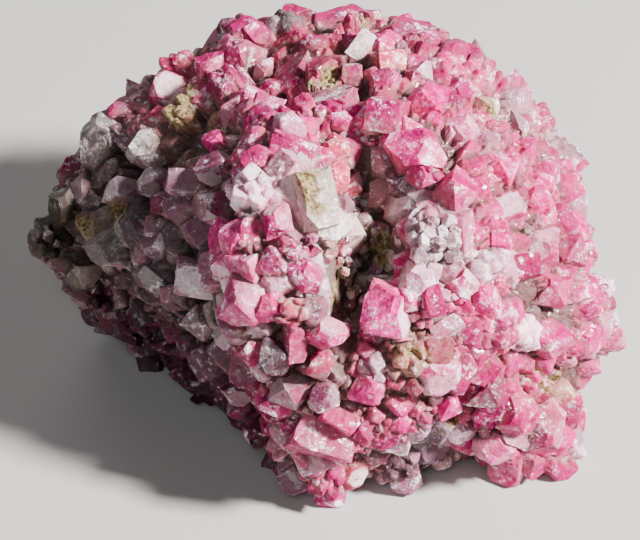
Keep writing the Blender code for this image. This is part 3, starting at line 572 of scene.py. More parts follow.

# %% [markdown]
# ## Colour over the whole specimen
# Spinel's pink runs in zones, deep where the crystals are clear and whitish where they are frosted, and
# iron stains some of it tan or olive. The dark plum and slate zones on the left tip and under the ledge are
# painted shade, and the greyer zones of the left shoulder are partly painted shade. Painting on the mesh
# would be lost with each change of shape, so the zones are a list of soft spots, and every crystal reads
# its tint from them at its place.

# %% Colour zones, as (across, up, towards, how wide, tint), in millimetres
# the plum and slate zones on the left tip and under the ledge are painted shade; the greyer zones of the
# left shoulder are partly painted shade
ZONES = [
    (-6.8, 2.5, 9.0, 2.0, VIVID), (-5.6, 2.6, 11.4, 2.4, PALE), (-6.0, -1.6, 10.0, 2.6, FROST),
    (-5.6, 5.0, 10.6, 2.6, FROST), (-2.2, -5.6, 9.0, 2.4, RUBY), (0.0, -12.8, 6.5, 4.2, RUBY),
    (-3.0, -9.5, 7.0, 2.6, MAUVE), (3.4, -9.0, 9.5, 2.4, VIVID), (-1.0, 5.8, 11.0, 2.6, CHALK),
    (-0.5, 0.5, 12.0, 2.4, FROST), (4.2, 4.0, 4.6, 3.0, UMBER), (4.0, 0.6, 5.0, 2.4, UMBER),
    (4.6, 7.4, 5.4, 2.4, UMBER), (6.4, 4.4, 8.4, 1.8, MAUVE), (-4.6, 6.6, 10.6, 2.2, FROST),
    (1.0, 3.6, 10.4, 1.8, CHALK), (2.0, -1.4, 8.0, 2.0, SAND), (9.0, 2.0, 12.0, 3.2, FROST),
    (5.4, -3.0, 12.0, 2.4, PALE), (7.0, -6.4, 10.0, 2.0, SAND), (12.7, -9.2, 6.5, 2.2, RUBY),
    (20.0, -4.8, 2.0, 3.6, VIVID), (16.0, -13.0, 2.5, 3.4, VIVID), (8.0, -13.6, 1.8, 3.2, LILAC),
    (14.0, 3.5, 7.0, 4.6, ROSE), (18.5, 6.0, 0.5, 4.0, PALE), (15.3, 9.7, 3.6, 1.6, VIVID),
    (17.2, 7.5, 2.4, 1.5, FROST), (16.5, 11.6, 0.0, 1.5, FROST), (14.0, 3.0, 7.4, 1.4, FROST),
    (16.2, 3.4, 5.4, 1.6, VIVID), (18.6, 2.4, 3.0, 1.5, VIVID), (19.6, 0.4, 0.0, 1.5, FROST),
    (12.6, 5.4, 7.6, 1.5, RUBY), (16.4, 0.0, 6.4, 1.5, RUBY), (12.0, 15.7, -1.0, 1.6, FROST),
    (13.0, 12.6, 3.0, 1.5, VIVID), (17.6, -3.0, 4.6, 1.4, FROST), (18.6, -6.6, 3.2, 1.6, RUBY),
    (8.0, 9.5, 8.0, 3.4, ROSE), (2.5, 11.8, 6.0, 3.2, VIVID), (9.0, 13.0, 4.5, 2.6, ROSE),
    (8.6, 12.6, 5.6, 1.8, VIVID), (14.4, 7.6, 5.4, 2.2, VIVID), (11.0, -2.4, 10.6, 1.6, VIVID),
    (15.6, -5.4, 6.6, 2.2, PALE), (7.5, 17.2, -2.0, 3.6, PALE), (1.5, 16.6, 0.0, 3.4, SALMON),
    (0.6, 14.6, 3.0, 1.8, OLIVE), (-4.5, 16.6, -1.5, 3.4, ROSE), (-10.0, 14.6, -2.0, 3.4, SALMON),
    (-9.0, 12.2, -1.0, 2.2, OLIVE), (-11.5, 9.5, 0.5, 3.0, SAND), (-11.0, 4.5, 3.0, 4.0, LILAC),
    (-9.0, -0.6, 5.0, 3.0, GREY), (-16.0, 7.0, -5.0, 4.6, GREY), (-18.6, 3.4, -5.0, 3.6, SHADE_SLATE),
    (-17.6, 2.4, -4.0, 1.8, OLIVE), (-14.0, -0.4, -1.0, 3.0, GREY), (-19.6, 0.4, -9.0, 3.6, SHADE_SLATE),
    (-15.6, -3.6, -8.0, 3.4, SHADE_PLUM), (-11.0, -6.0, -5.0, 4.4, SHADE_PLUM), (-6.6, -9.6, -1.0, 3.4, SHADE_PLUM),
    (-5.0, -12.6, 0.0, 2.8, MAUVE), (12.6, 12.0, 2.5, 1.4, SAND), (17.5, -9.0, 1.0, 2.0, SAND),
    (13.0, -3.0, 9.0, 3.2, PALE), (0.4, -16.2, 1.0, 2.6, PALE),
]
# The sides that face away, as (x, y, height, how wide, tint)
BACK_ZONES = [
    (-12.0, 18.0, 12.0, 6.0, PALE), (0.0, 21.0, 16.0, 5.0, ROSE), (8.0, 21.0, 9.0, 5.0, SALMON),
    (-4.0, 20.0, 5.0, 4.5, SAND), (17.0, 13.0, 8.0, 5.0, ROSE), (-18.0, 10.0, 6.0, 4.5, LILAC),
    (20.0, 4.0, 5.0, 4.0, PALE), (3.0, 21.5, 11.0, 3.0, VIVID), (-8.0, 19.5, 9.0, 3.0, OLIVE),
]
# Where sandy crust clings, as (across, up, towards, how wide)
CRUSTS = [
    (-1.4, 7.2, 12.2, 1.3), (-0.6, 5.9, 12.6, 1.2), (0.1, 4.6, 12.4, 1.2), (2.4, -1.6, 8.6, 1.6),
    (-10.6, 12.6, -1.0, 1.9), (-8.6, 11.0, 0.5, 1.5), (-11.8, 11.2, -1.0, 1.5), (0.8, 14.6, 3.0, 1.7),
    (-1.0, 14.0, 3.4, 1.2), (12.6, 12.2, 2.5, 1.2), (-17.8, 2.6, -4.0, 2.2), (-15.4, 4.4, -2.6, 1.6),
    (6.8, -6.2, 10.4, 1.5), (17.8, -8.4, 1.5, 1.7), (16.0, -8.0, 3.0, 1.3), (4.4, 1.6, 5.4, 1.6),
    (3.0, 18.6, -5.0, 2.0), (9.6, -11.0, 4.0, 1.3),
]
print("colour zones:", len(ZONES + BACK_ZONES), "and crusts:", len(CRUSTS))


# %% Bell curves round soft spots
def placed(spots):
    """The places and the widths of spots that start with (across, up, towards, how wide)."""
    return np.array([on_show_face(*spot[:3])[:] for spot in spots]), np.array([spot[3] for spot in spots])


def bells(points, places, widths):
    """For each point and spot, e to the power of minus the square of their distance over its width."""
    gap = np.linalg.norm(points[:, None, :] - places[None], axis=2) / widths
    return np.exp(-gap * gap)


crust_spots = placed(CRUSTS)
show_places, show_widths = placed(ZONES)
zone_places = np.concatenate([show_places, [zone[:3] for zone in BACK_ZONES]])
zone_widths = np.concatenate([show_widths, [zone[3] for zone in BACK_ZONES]])
zone_colours = np.array([linear(TINTS[zone[4]]) for zone in ZONES + BACK_ZONES])
print("zones are", zone_widths.min(), "to", zone_widths.max(), "mm wide")

# %% Tint and crust at any point
CRUST_TEAR = 0.8  # mm: how wide the tears in the crust are
DEEPER_PATCH = 3.5  # mm: how wide the deeper and the paler places are
DEEPER_POWERS = np.array((0.5, 1.5, 1.0))  # deepening takes green first, then blue, then red


def crust_share(points):
    """How much sandy crust lies at each point, 0 to 1: bell curves round the crust spots, torn by noise."""
    near = bells(points, *crust_spots).max(axis=1)
    return np.clip(4.0 * (near - 0.5 + 0.8 * rough_noise(points / CRUST_TEAR, 51, 4)), 0.0, 1.0)


def zone_colour(points):
    """The linear colour at each point: the zones' colours weighed by their bell curves, made deeper in
    some places and paler in others by soft noise."""
    weight = bells(points, zone_places, zone_widths) + 1e-6
    paler = np.clip(1.0 + 1.2 * rough_noise(points / DEEPER_PATCH, 61, 2), 0.4, 1.7)[:, None]
    return weight @ zone_colours / weight.sum(axis=1, keepdims=True) * paler ** DEEPER_POWERS


print("the crest's colour is", zone_colour(np.array([on_show_face(-6.0, 0.0, 11.0)[:]])).round(2))


# %% [markdown]
# ## The materials
# Spinel is a glassy oxide with a high refractive index, so its clean faces flash. Grown as fine as this it
# is milky: cracks and bubbles send the light back out as pink, which subsurface scattering gives, red
# reaching furthest. Plain transmission would look like tinted glass. The frost, the dirt between crystals,
# which turns dark where they lie deep and so is partly painted shade, and the sand are patterns in real
# millimetres, which need no unwrapping and stay sharp from every side.

# %% What the finish is made of
SPINEL_IOR = 1.72
SUGAR, SPECK, SAND_GRAIN, PIT = 0.2, 0.4, 0.28, 0.24  # mm: frost grains, dirt specks, sand, etched pits
PIT_DEPTH = 0.16  # mm
FROST_WHITE, DEEP_PINK = "#F8E9F0", "#A40658"
# the darkest dirt colour is also painted shade, for the places that lie deep between crystals
DUST, DRY_DIRT, DARK_DIRT_AND_SHADE = "#B08A70", "#66504A", "#1E1210"
SAND_COLOURS = ("#4A3C22", "#A8926A")
print("patterns from", min(SUGAR, SPECK, SAND_GRAIN, PIT), "mm up")


# %% The colour of spinel
def spinel_colour(tree, place, tint, dust, crust, frost, clear, lively):
    """The base colour: over the tint white frost where fine noise peaks, deeper pink where it dips, then
    dirt by the dust share, which holds painted shade as well: tan while thin, and caked brown to near black
    where the share is high, deep between crystals, darkest in dull zones, which is painted shade. Then sand
    by the crust share. Clear says how pure the tint is and lively how bright: dull crystals get less frost
    and less tan.

    Each pattern is noise of a real size, cut to a share between two of its levels by a Map Range."""
    sugar = node(tree, "TexNoise", [("Vector", place)], Scale=1.0 / (SUGAR * MM), Detail=3.0)
    sugary = node(tree, "Math", [(0, sugar), (1, 0.4), (2, frost)], operation="MULTIPLY_ADD")
    frosted = node(tree, "MapRange", [("Value", sugary)], From_Min=0.77, From_Max=0.81, To_Max=0.88)
    green = node(tree, "SeparateColor", [("Color", tint)]).outputs["Green"]
    milky = node(tree, "MapRange", [("Value", green)], From_Min=0.003, From_Max=0.04, To_Min=0.45)
    deeper = node(tree, "MapRange", [("Value", frost)], From_Min=0.55, From_Max=0.45, To_Max=0.75)
    shares = []
    for share, *others in ((frosted, milky, lively), (deeper, lively, clear), (lively, 0.65)):
        for other in others:
            share = node(tree, "Math", [(0, share), (1, other)], operation="MULTIPLY")
        shares.append(share)
    frosting, deepening, tanned = shares
    speck = node(tree, "TexNoise", [("Vector", place)], Scale=1.0 / (SPECK * MM), Detail=2.0)
    specked = node(tree, "MapRange", [("Value", speck)], From_Min=0.64, From_Max=0.7, To_Max=0.75)
    # painted shade along with dirt: where the dust share is high the colour turns caked and dark
    soiled_and_shaded = node(tree, "Math", [(0, dust), (1, specked)], operation="MAXIMUM")
    buried_and_shaded = node(tree, "MapRange", [("Value", soiled_and_shaded)], From_Min=0.35, From_Max=0.85)
    dusted = node(tree, "Mix", [(0, tanned), (6, tint), (7, rgba(DUST))], data_type="RGBA").outputs[2]
    caked_and_shaded = node(tree, "Mix", [(0, lively), (6, rgba(DARK_DIRT_AND_SHADE)), (7, rgba(DRY_DIRT))], data_type="RGBA")
    dirt_and_shade = node(tree, "Mix", [(0, buried_and_shaded), (6, dusted), (7, caked_and_shaded.outputs[2])], data_type="RGBA").outputs[2]
    sand = node(tree, "TexNoise", [("Vector", place)], Scale=1.0 / (SAND_GRAIN * MM), Detail=3.0)
    sandy = node(tree, "ValToRGB", [("Fac", sand)])
    for stop, position, code in zip(sandy.color_ramp.elements, (0.36, 0.62), SAND_COLOURS):
        stop.position, stop.color = position, rgba(code)
    colour = tint
    for share, layer in ((frosting, rgba(FROST_WHITE)), (deepening, rgba(DEEP_PINK)), (soiled_and_shaded, dirt_and_shade),
                         (crust, sandy)):
        colour = node(tree, "Mix", [(0, share), (6, colour), (7, layer)], data_type="RGBA").outputs[2]
    return colour


# %% The surface of spinel
GLOSSY, ETCHED = 0.22, 0.6  # roughness of the clean and of the frosted places
CHOSEN_FROM, CHOSEN_TO = 0.84, 0.87  # a cell whose random number lies above flashes
MATT, FLASHING = 0.07, 1.0  # how strongly the other cells and the flashing ones mirror
AS_IS, POLISHED = 1.0, 0.42  # what their roughness is multiplied by


def spinel_surface(tree, place, crust, frost, clear, cell, tilt):
    """Roughness, mirror strength and normal: etched pits all over, and small flat cells that each turn the
    light their own way by tilt. One cell in seven is a clean, glossy bit of face that flashes."""
    gloss = node(tree, "MapRange", [("Value", frost)], From_Min=0.42, From_Max=0.62, To_Min=GLOSSY,
                 To_Max=ETCHED)
    pits = node(tree, "TexNoise", [("Vector", place)], Scale=1.0 / (PIT * MM), Detail=6.0)
    bump = node(tree, "Bump", [("Height", pits)], Strength=0.7, Distance=PIT_DEPTH * MM)
    cells = node(tree, "TexVoronoi", [("Vector", place)], Scale=1.0 / (cell * MM)).outputs["Color"]
    number = node(tree, "SeparateColor", [("Color", cells)]).outputs["Red"]
    glint, mirror = [
        node(tree, "MapRange", [("Value", number)], From_Min=CHOSEN_FROM, From_Max=CHOSEN_TO, To_Min=others,
             To_Max=chosen)
        for others, chosen in ((AS_IS, POLISHED), (MATT, FLASHING))
    ]
    flash = node(tree, "MapRange", [("Value", clear)], To_Min=0.3)
    shine = node(tree, "Math", [(0, mirror), (1, flash)], operation="MULTIPLY")
    sleek = node(tree, "Math", [(0, gloss), (1, glint)], operation="MULTIPLY")
    dull = node(tree, "Math", [(0, sleek), (1, crust)], operation="ADD", use_clamp=True)
    spread = node(tree, "VectorMath", [(0, cells), (1, (0.5, 0.5, 0.5))], operation="SUBTRACT")
    lean = node(tree, "VectorMath", [(0, spread), ("Scale", tilt)], operation="SCALE")
    leaning = node(tree, "VectorMath", [(0, bump), (1, lean)], operation="ADD")
    normal = node(tree, "VectorMath", [(0, leaning)], operation="NORMALIZE")
    return [made.outputs[0] for made in (dull, shine, normal)]


# %% The two spinels
GLOW, GLOW_REACH = 0.55, 0.45  # how much light goes inside, and how far its red comes back out, in mm
GLOW_BY_COLOUR = (1.0, 0.15, 0.35)


def spinel(name, patch, cell, tilt):
    """Pink spinel in its piece's own tint, its dust with painted shade, and its crust, with frost in patches
    of patch mm and flat cells of cell mm that lean by tilt."""
    material = bpy.data.materials.new(name)
    material.use_nodes = True
    tree = material.node_tree
    shader = tree.nodes["Principled BSDF"]
    place = node(tree, "TexCoord").outputs["Object"]
    tint = node(tree, "Attribute", attribute_name="tint").outputs["Color"]
    dust, crust = [node(tree, "Attribute", attribute_name=key).outputs["Fac"] for key in ("dust", "crust")]
    frost = node(tree, "TexNoise", [("Vector", place)], Scale=1.0 / (patch * MM), Detail=7.0, Roughness=0.75)
    purity, value = node(tree, "SeparateColor", [("Color", tint)], mode="HSV").outputs[1:]
    clear = node(tree, "MapRange", [("Value", purity)], From_Min=0.3, From_Max=0.8)
    lively = node(tree, "MapRange", [("Value", value)], From_Min=0.05, From_Max=0.3, To_Min=0.02)
    colour = spinel_colour(tree, place, tint, dust, crust, frost, clear, lively)
    surface = spinel_surface(tree, place, crust, frost, clear, cell, tilt)
    for key, socket in zip(("Base Color", "Roughness", "Specular IOR Level", "Normal"), (colour, *surface)):
        tree.links.new(socket, shader.inputs[key])
    shader.inputs["IOR"].default_value = SPINEL_IOR
    shader.inputs["Subsurface Weight"].default_value = GLOW
    shader.inputs["Subsurface Radius"].default_value = GLOW_BY_COLOUR
    shader.inputs["Subsurface Scale"].default_value = GLOW_REACH * MM
    print(name, "has", len(tree.nodes), "nodes")
    return material


# Milky spinel, grown with clean faces: a soft glow from inside, frosted patches and a few wide glints
crystal_material = spinel("milky_spinel", patch=1.7, cell=0.4, tilt=0.5)
# Sugary spinel, grown fine: the same glow, but broken up into many small glints, as on a lump of sugar
mass_material = spinel("sugary_spinel", patch=1.5, cell=0.3, tilt=0.6)

# %% [markdown]
# ## The larger crystals
# A crystal is the space behind its flat faces. Along a direction d the face with normal n at distance a is
# met at a / (n . d), and the nearest face counts. A hull of its corners would have the same form in a few
# big faces, but these are to be bent a little, as grown faces are, which takes a fine, even grid. Points
# that come out close to an edge are slid onto it, so that it still comes out crisp.

# %% Faces and turns
UNEVENNESS = 0.16  # how much nearer or further than its habit says a crystal's flat face may lie
FACE_WAYS = np.array([way for way in product((-1, 0, 1), repeat=3) if sum(map(abs, way)) in (1, 3)], float)
IS_CUBE_FACE = np.abs(FACE_WAYS).sum(axis=1) == 1
FACE_NORMALS = unit(FACE_WAYS)


def crystal_draws(site, dice):
    """A crystal's chance values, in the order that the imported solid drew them: the distances of its faces,
    then its tip, then its thickness. Gives the distances and the 3 by 3 turn that carries it into place."""
    size, habit, width, turn = site[2:6]
    shares = [habit[0] if cube else habit[1] for cube in IS_CUBE_FACE]
    reach = [share / 2 * dice.uniform(1 - UNEVENNESS, 1 + UNEVENNESS) for share in shares]
    tip = Euler([dice.uniform(-0.45, 0.45) for _ in range(3)]).to_matrix()
    stretch = Matrix.Diagonal((size, size * width, size * dice.uniform(0.8, 1.0)))
    spin = Matrix.Rotation(math.radians(turn), 3, "Z")
    face_turn = Matrix.Rotation(math.radians(90.0 - FACE_TILT_DEG), 3, "X")
    return reach, face_turn @ spin @ tip @ stretch


print("a crystal has", IS_CUBE_FACE.sum(), "cube faces and", (~IS_CUBE_FACE).sum(), "octahedron faces")


# %% The form of a crystal
EDGE_CATCH, CORNER_CATCH = 0.5, 0.62  # of a grid step: how far a point is slid onto an edge or a corner


def meeting_point(normals, reach):
    """Where three planes meet, by cross products; far away where they are nearly parallel."""
    first, second, third = normals
    across = [np.cross(second, third), np.cross(third, first), np.cross(first, second)]
    volume = (first * across[0]).sum(axis=-1, keepdims=True)
    safe = np.where(np.abs(volume) < 0.05, 0.001, volume)
    return sum(reach[k][..., None] * across[k] for k in range(3)) / safe


def crystal_shapes(cuts, reach):
    """Crystals, one unit in size: points (N, V, 3), the face each lies on (N, V), and triangles (N, T, 3).

    Along a direction w the face with normal n at distance a is met at a / (n . w), and the nearest counts.
    Points close to an edge or a corner are slid onto it, and each grid square is parted along the diagonal
    that stays nearer the surface, so the edges come out straight and sharp."""
    ways, quads = ball(cuts)[:2]
    terms = np.maximum(FACE_NORMALS @ ways.T, 0.0)[None] / reach[:, :, None]
    order = np.argsort(-terms, axis=1)[:, :3]
    nearest = np.take_along_axis(terms, order[:, :1], axis=1)[:, 0]
    points = ways[None] / nearest[..., None]
    normals = [FACE_NORMALS[order[:, k]] for k in range(3)]
    distances = [np.take_along_axis(reach, order[:, k], axis=1) for k in range(3)]
    cosine = (normals[0] * normals[1]).sum(axis=-1)
    short = (distances[1] - (normals[1] * points).sum(axis=-1)) / (1.0 - cosine * cosine + 1e-9)
    edge = points + short[..., None] * (normals[1] - cosine[..., None] * normals[0])
    corner = meeting_point(normals, distances)
    step = math.pi / 2 / cuts / nearest
    for target, catch in ((edge, EDGE_CATCH), (corner, CORNER_CATCH)):
        moved = np.linalg.norm(target - points, axis=-1)
        outside = (target @ FACE_NORMALS.T / reach[:, None, :]).max(axis=-1) > 1.001
        slide = (moved < catch * step) & ~outside
        points = np.where(slide[..., None], target, points)
    halves = [0.5 * (points[:, quads[:, k]] + points[:, quads[:, k + 2]]) for k in range(2)]
    bulge = [(half @ FACE_NORMALS.T / reach[:, None, :]).max(axis=-1) for half in halves]
    first = np.stack([quads[:, [0, 1, 2]], quads[:, [0, 2, 3]]], axis=1)
    second = np.stack([quads[:, [1, 2, 3]], quads[:, [1, 3, 0]]], axis=1)
    take_first = (bulge[0] >= bulge[1])[:, :, None, None]
    triangles = np.where(take_first, first[None], second[None]).reshape(len(reach), -1, 3)
    return points, order[:, 0], triangles


trial = crystal_shapes(10, np.full((1, len(FACE_WAYS)), 0.5))
print("a crystal of 10 cuts has", trial[2].shape[1], "triangles")

# %% [markdown]
# Neighbouring crystals of spinel never match: one grew a little purer, another a little more clouded. So
# every crystal draws a tint of its own and blends it with its zone's. A noise over the surface couldn't
# do this, as its changes would cut across the faces.

# %% A tint for every crystal
OWN_TINTS = np.array([linear(TINTS[tint]) for tint in (RUBY, RUBY, VIVID, VIVID, ROSE, PALE, FROST)])
SINK = 0.2  # of a crystal's size: how far its middle lies under the rock's surface
BRIGHTNESS = (0.32, 1.15)
OWN_SHARE = 0.7  # of a crystal's tint that is its own where its zone is lively
NAMED_OWN_SHARE, NAMED_BRIGHTER = 0.2, 1.25  # where the tint was given in the table
chance = np.random.default_rng(5)


def varied(zone, amount):
    """The zones' colours, each blended with a tint drawn for its crystal by the amount given, and a little
    lighter or darker. Dull and dark zones vary little."""
    drawn = OWN_TINTS[chance.choice(len(OWN_TINTS), size=len(zone))]
    drawn = drawn * (zone.sum(axis=1) / drawn.sum(axis=1))[:, None] ** 0.3
    brightest = zone.max(axis=1)
    purity = 1.0 - zone.min(axis=1) / brightest
    liveliness = np.clip((purity - 0.45) / 0.35, 0.15, 1.0) * np.clip(brightest / 0.3, 0.1, 1.0)
    amount = amount * liveliness[:, None]
    return (zone * (1 - amount) + drawn * amount) * chance.uniform(*BRIGHTNESS, size=(len(zone), 1))


site_reach, site_turns = [np.array(part) for part in zip(*[crystal_draws(site, dice) for site in sites])]
site_places = np.array([(site[0] - site[1] * site[2] * SINK)[:] for site in sites])
site_sizes = np.array([site[2] for site in sites])
named = np.array([site[6] is not None for site in sites])
site_tints = varied(zone_colour(np.array([site[0][:] for site in sites])), OWN_SHARE)
named_tints = np.array([linear(TINTS[site[6]]) for site in sites if site[6] is not None])
site_tints[named] = NAMED_BRIGHTER * varied(named_tints, NAMED_OWN_SHARE)
print("crystals with a tint typed by hand:", named.sum())

# %% One mesh of many crystals
BEND = 0.26  # mm
BEND_LENGTH = 2.0  # mm
WAVE_LENGTH = 0.8  # mm
WHITE_FROST = linear("#F3E4E6")
FACE_FROST = 0.8  # how white the whitest face gets
SHARP_DEG = 32
# dust and painted shade at a crystal's foot, where it meets the rock
FOOT_DUST_AND_SHADE, DUST_AND_SHADE_FALL, MOST_DUST_AND_SHADE = 0.42, 1.7, 0.88  # at a crystal's middle, per its size, at its foot


def warped(points):
    """The points pushed about by soft noise, so that no face stays quite flat and no edge straight."""
    push = [rough_noise(points / BEND_LENGTH + 40.0 * k, 81 + k, 2) for k in range(3)]
    moved = points + BEND * np.stack(push, axis=1)
    moved[:, 2] = np.maximum(moved[:, 2], 0.0)
    return moved


def crystal_piece(name, cuts, reach, turns, places, sizes, tints, material, wave=0.15):
    """One mesh of many crystals, their faces waved by wave mm. Each face has its own share of white frost,
    mostly little, and dust with painted shade darkens the foot, where it meets the rock: the share falls
    with the rise above the crystal's middle."""
    shapes, face_index, triangles = crystal_shapes(cuts, reach)
    count, corners = shapes.shape[:2]
    points = (np.einsum("nij,nvj->nvi", turns, shapes) + places[:, None, :]).reshape(-1, 3)
    outwards = unit(points - np.repeat(places, corners, axis=0))
    points = warped(points + wave * rough_noise(points / WAVE_LENGTH, 21, octaves=3)[:, None] * outwards)
    clouded = np.clip(tints.max(axis=1) / 0.25, 0.05, 1.0) * np.clip(tints[:, 1] / 0.03, 0.3, 1.0)
    face_frost = FACE_FROST * chance.random((count, len(FACE_NORMALS))) ** 4.0
    face_frost *= clouded[:, None]
    white = np.take_along_axis(face_frost, face_index, axis=1)[..., None]
    tint = (tints[:, None, :] * (1.0 - white) + WHITE_FROST * white).reshape(-1, 3)
    middle_out = np.repeat(np.linalg.norm(places - HEART_AT, axis=1), corners)
    rise = np.linalg.norm(points - HEART_AT, axis=1) - middle_out
    # painted shade with dust: the lower on the crystal, the darker
    dust = np.clip(FOOT_DUST_AND_SHADE - DUST_AND_SHADE_FALL * rise / np.repeat(sizes, corners), 0.0, MOST_DUST_AND_SHADE)
    faces = (triangles + (np.arange(count) * corners)[:, None, None]).reshape(-1, 3)
    return mesh_piece(name, points, faces, material, sharp_deg=SHARP_DEG, tint=tint, dust=dust,
                      crust=crust_share(points))


BIG_FROM = 3.2  # mm
is_knot = np.array([site[6] != CHALK and (site[3] == ROUNDED or site[6] == FROST) for site in sites])
big = np.flatnonzero((site_sizes >= BIG_FROM) & ~is_knot)
middling = np.flatnonzero((site_sizes < BIG_FROM) & ~is_knot)
print(len(big), "big crystals,", len(middling), "middling ones and", is_knot.sum(), "knots")

# %% [markdown]
# ## The smaller crystals between
# Between the larger crystals the rock is packed with smaller ones, from 3.4 mm down to 0.7 mm. They are
# dropped on the rock from the largest down, each where it still finds room, as they would have grown.
# Scattering by a particle system would be quicker, but it lets them sit inside each other.

# %% The rock's skin and places on it
def rock_surface(cuts):
    """The softened cage as a mesh of quads: heart plus direction times distance."""
    ways, faces = ball(cuts)[:2]
    points = HEART_AT + ways * soft_distance(ways, 0.03)[:, None]
    return points, faces


def facing(corners):
    """The way quads (F, 4, 3) face, twice their area long: the cross product of their diagonals."""
    return np.cross(corners[:, 2] - corners[:, 0], corners[:, 3] - corners[:, 1])


def strewn(points, faces, count):
    """Places on a mesh of quads and their outward directions: faces drawn by area, a point in each."""
    corner = points[faces]
    normal = facing(corner)
    area = np.linalg.norm(normal, axis=1)
    pick = chance.choice(len(faces), size=count, p=area / area.sum())
    u, v = chance.random((2, count, 1))
    low = corner[pick, 0] * (1 - u) + corner[pick, 1] * u
    high = corner[pick, 3] * (1 - u) + corner[pick, 2] * u
    return low * (1 - v) + high * v, normal[pick] / np.maximum(area[pick], 1e-9)[:, None]


def random_turns(count):
    """Random 3 by 3 rotations: the orthogonal part of random matrices."""
    turns = np.linalg.qr(chance.normal(size=(count, 3, 3)))[0]
    return turns * np.sign(np.linalg.det(turns))[:, None, None]


rock_points, rock_faces = rock_surface(60)
print("the rock's skin spans", np.ptp(rock_points, axis=0).round(1), "mm")

# %% Spots with a grain of their own, as (across, up, towards, how wide), in millimetres
# fine-grained places
FINE_SPOTS = [
    (0.6, 0.6, 10.5, 2.6), (1.6, -5.0, 10.0, 2.4), (6.4, -6.0, 10.5, 2.6), (9.6, -2.6, 11.0, 2.8),
    (12.0, 0.6, 10.0, 2.4), (3.0, -10.5, 9.0, 3.0), (8.6, -10.5, 6.0, 3.4), (1.6, 13.6, 4.0, 2.4),
    (-9.4, 12.4, -0.5, 2.6),
]
# the left block's smooth, whitish plate
PLATE_SPOTS = [
    (-3.4, 6.4, 11.2, 1.5), (-1.6, 6.2, 11.4, 1.8), (-0.4, 4.6, 11.4, 1.8), (0.9, 3.6, 11.0, 1.5),
]
# the valley, which is deep enough without its grain being sunk
VALLEY_SPOTS = [
    (3.4, 8.4, 5.6, 2.4), (3.8, 5.4, 4.6, 2.8), (3.6, 2.4, 4.2, 2.6), (3.6, 0.0, 4.8, 2.4),
    (6.0, 4.4, 7.0, 2.4),
]
fine_spots, plate_spots, valley_spots = placed(FINE_SPOTS), placed(PLATE_SPOTS), placed(VALLEY_SPOTS)
LUMP_SIZE = 3.2  # mm
HOLLOW_DEPTH = 1.8  # mm


def plate_share(points):
    """How much each point belongs to the plate, 0 to 1: bell curves round the plate's spots."""
    return np.clip(2.0 * bells(points, *plate_spots).max(axis=1) - 0.3, 0.0, 1.0)


def hollows(points):
    """How deep the fine grain lies under the rock's form, in mm: nothing on the lumps that soft noise
    makes, most between them, and nothing in the valley."""
    elsewhere = 1.0 - bells(points, *valley_spots).max(axis=1)
    return HOLLOW_DEPTH * elsewhere * np.clip(0.45 - 1.3 * rough_noise(points / LUMP_SIZE, 71, 2), 0.0, 1.0)


print("the grain is sunk by up to", hollows(rock_points).max().round(2), "mm")

# %% Finding room
GRAIN_TRIES = 30000
GRAIN_SIZE = (0.7, 3.4)  # mm
GRAIN_GAP = 0.28  # of two crystals' sizes added: how close they may stand
SMALL_FAVOUR = 4.0  # the higher, the more of them are small
GRAIN_SINK = 0.22  # of a crystal's size
GRAIN_LIMIT, FINE_CUT = 3.8, 2.6  # mm: the largest away from fine spots, and how much less in one's midst
FLOOR_GAP = 0.2  # mm


def find_room(tries, low, high):
    """Places, outward directions and sizes of crystals that find room among those already there, the
    largest first. Fine-grained spots only take small ones, and the plate takes none."""
    places, outwards = strewn(rock_points, rock_faces, tries)
    sizes = low + (high - low) * np.sort(chance.random(tries))[::-1] ** SMALL_FAVOUR
    fine = bells(places, *fine_spots).max(axis=1)
    allowed = (sizes < GRAIN_LIMIT - FINE_CUT * fine) & (places[:, 2] > FLOOR_GAP)
    allowed &= plate_share(places) < 0.5
    taken = np.zeros((len(site_places) + tries, 4))
    taken[:len(site_places)] = np.column_stack([site_places, site_sizes])
    count, found = len(site_places), []
    for k in np.flatnonzero(allowed):
        others = taken[:count]
        near = ((others[:, :3] - places[k]) ** 2).sum(axis=1) < (GRAIN_GAP * (others[:, 3] + sizes[k])) ** 2
        if not near.any():
            taken[count] = (*places[k], sizes[k])
            count += 1
            found.append(k)
    return places[found], outwards[found], sizes[found]


grain_spots, grain_outwards, grain_sizes = find_room(GRAIN_TRIES, *GRAIN_SIZE)
grain_count = len(grain_sizes)
print(grain_count, "smaller crystals find room")

# %% Their habits, turns and tints
GRAIN_HABITS = np.array([OCTAHEDRON, BLUNT, ROUNDED, BLOCK])


def drawn_reach(count):
    """The distances of the faces of crystals one unit in size: a habit drawn for each, made uneven."""
    shares = GRAIN_HABITS[chance.choice(len(GRAIN_HABITS), size=count)]
    reach = np.where(IS_CUBE_FACE, shares[:, :1], shares[:, 1:]) / 2
    return reach * chance.uniform(1 - UNEVENNESS, 1 + UNEVENNESS, size=reach.shape)


grain_reach = drawn_reach(grain_count)
grain_stretch = chance.uniform(0.8, 1.2, (grain_count, 1, 3)) * grain_sizes[:, None, None]
grain_turns = random_turns(grain_count) * grain_stretch
grain_sunk = grain_sizes * GRAIN_SINK + hollows(grain_spots)
grain_places = grain_spots - grain_outwards * grain_sunk[:, None]
grain_tints = varied(zone_colour(grain_places), OWN_SHARE)
print("their middles lie", grain_sunk.mean().round(2), "mm deep on average")

# %% [markdown]
# ## Steep walls
# The fine surface made further down is a distance along every direction from the heart, so it can't
# overhang. Where the rock leans far away from that direction its crystals would be smeared out, so they
# are drawn in full there instead, and left out of the surface.

# %% Which crystals stand on steep walls
STEEP = 42.0  # degrees


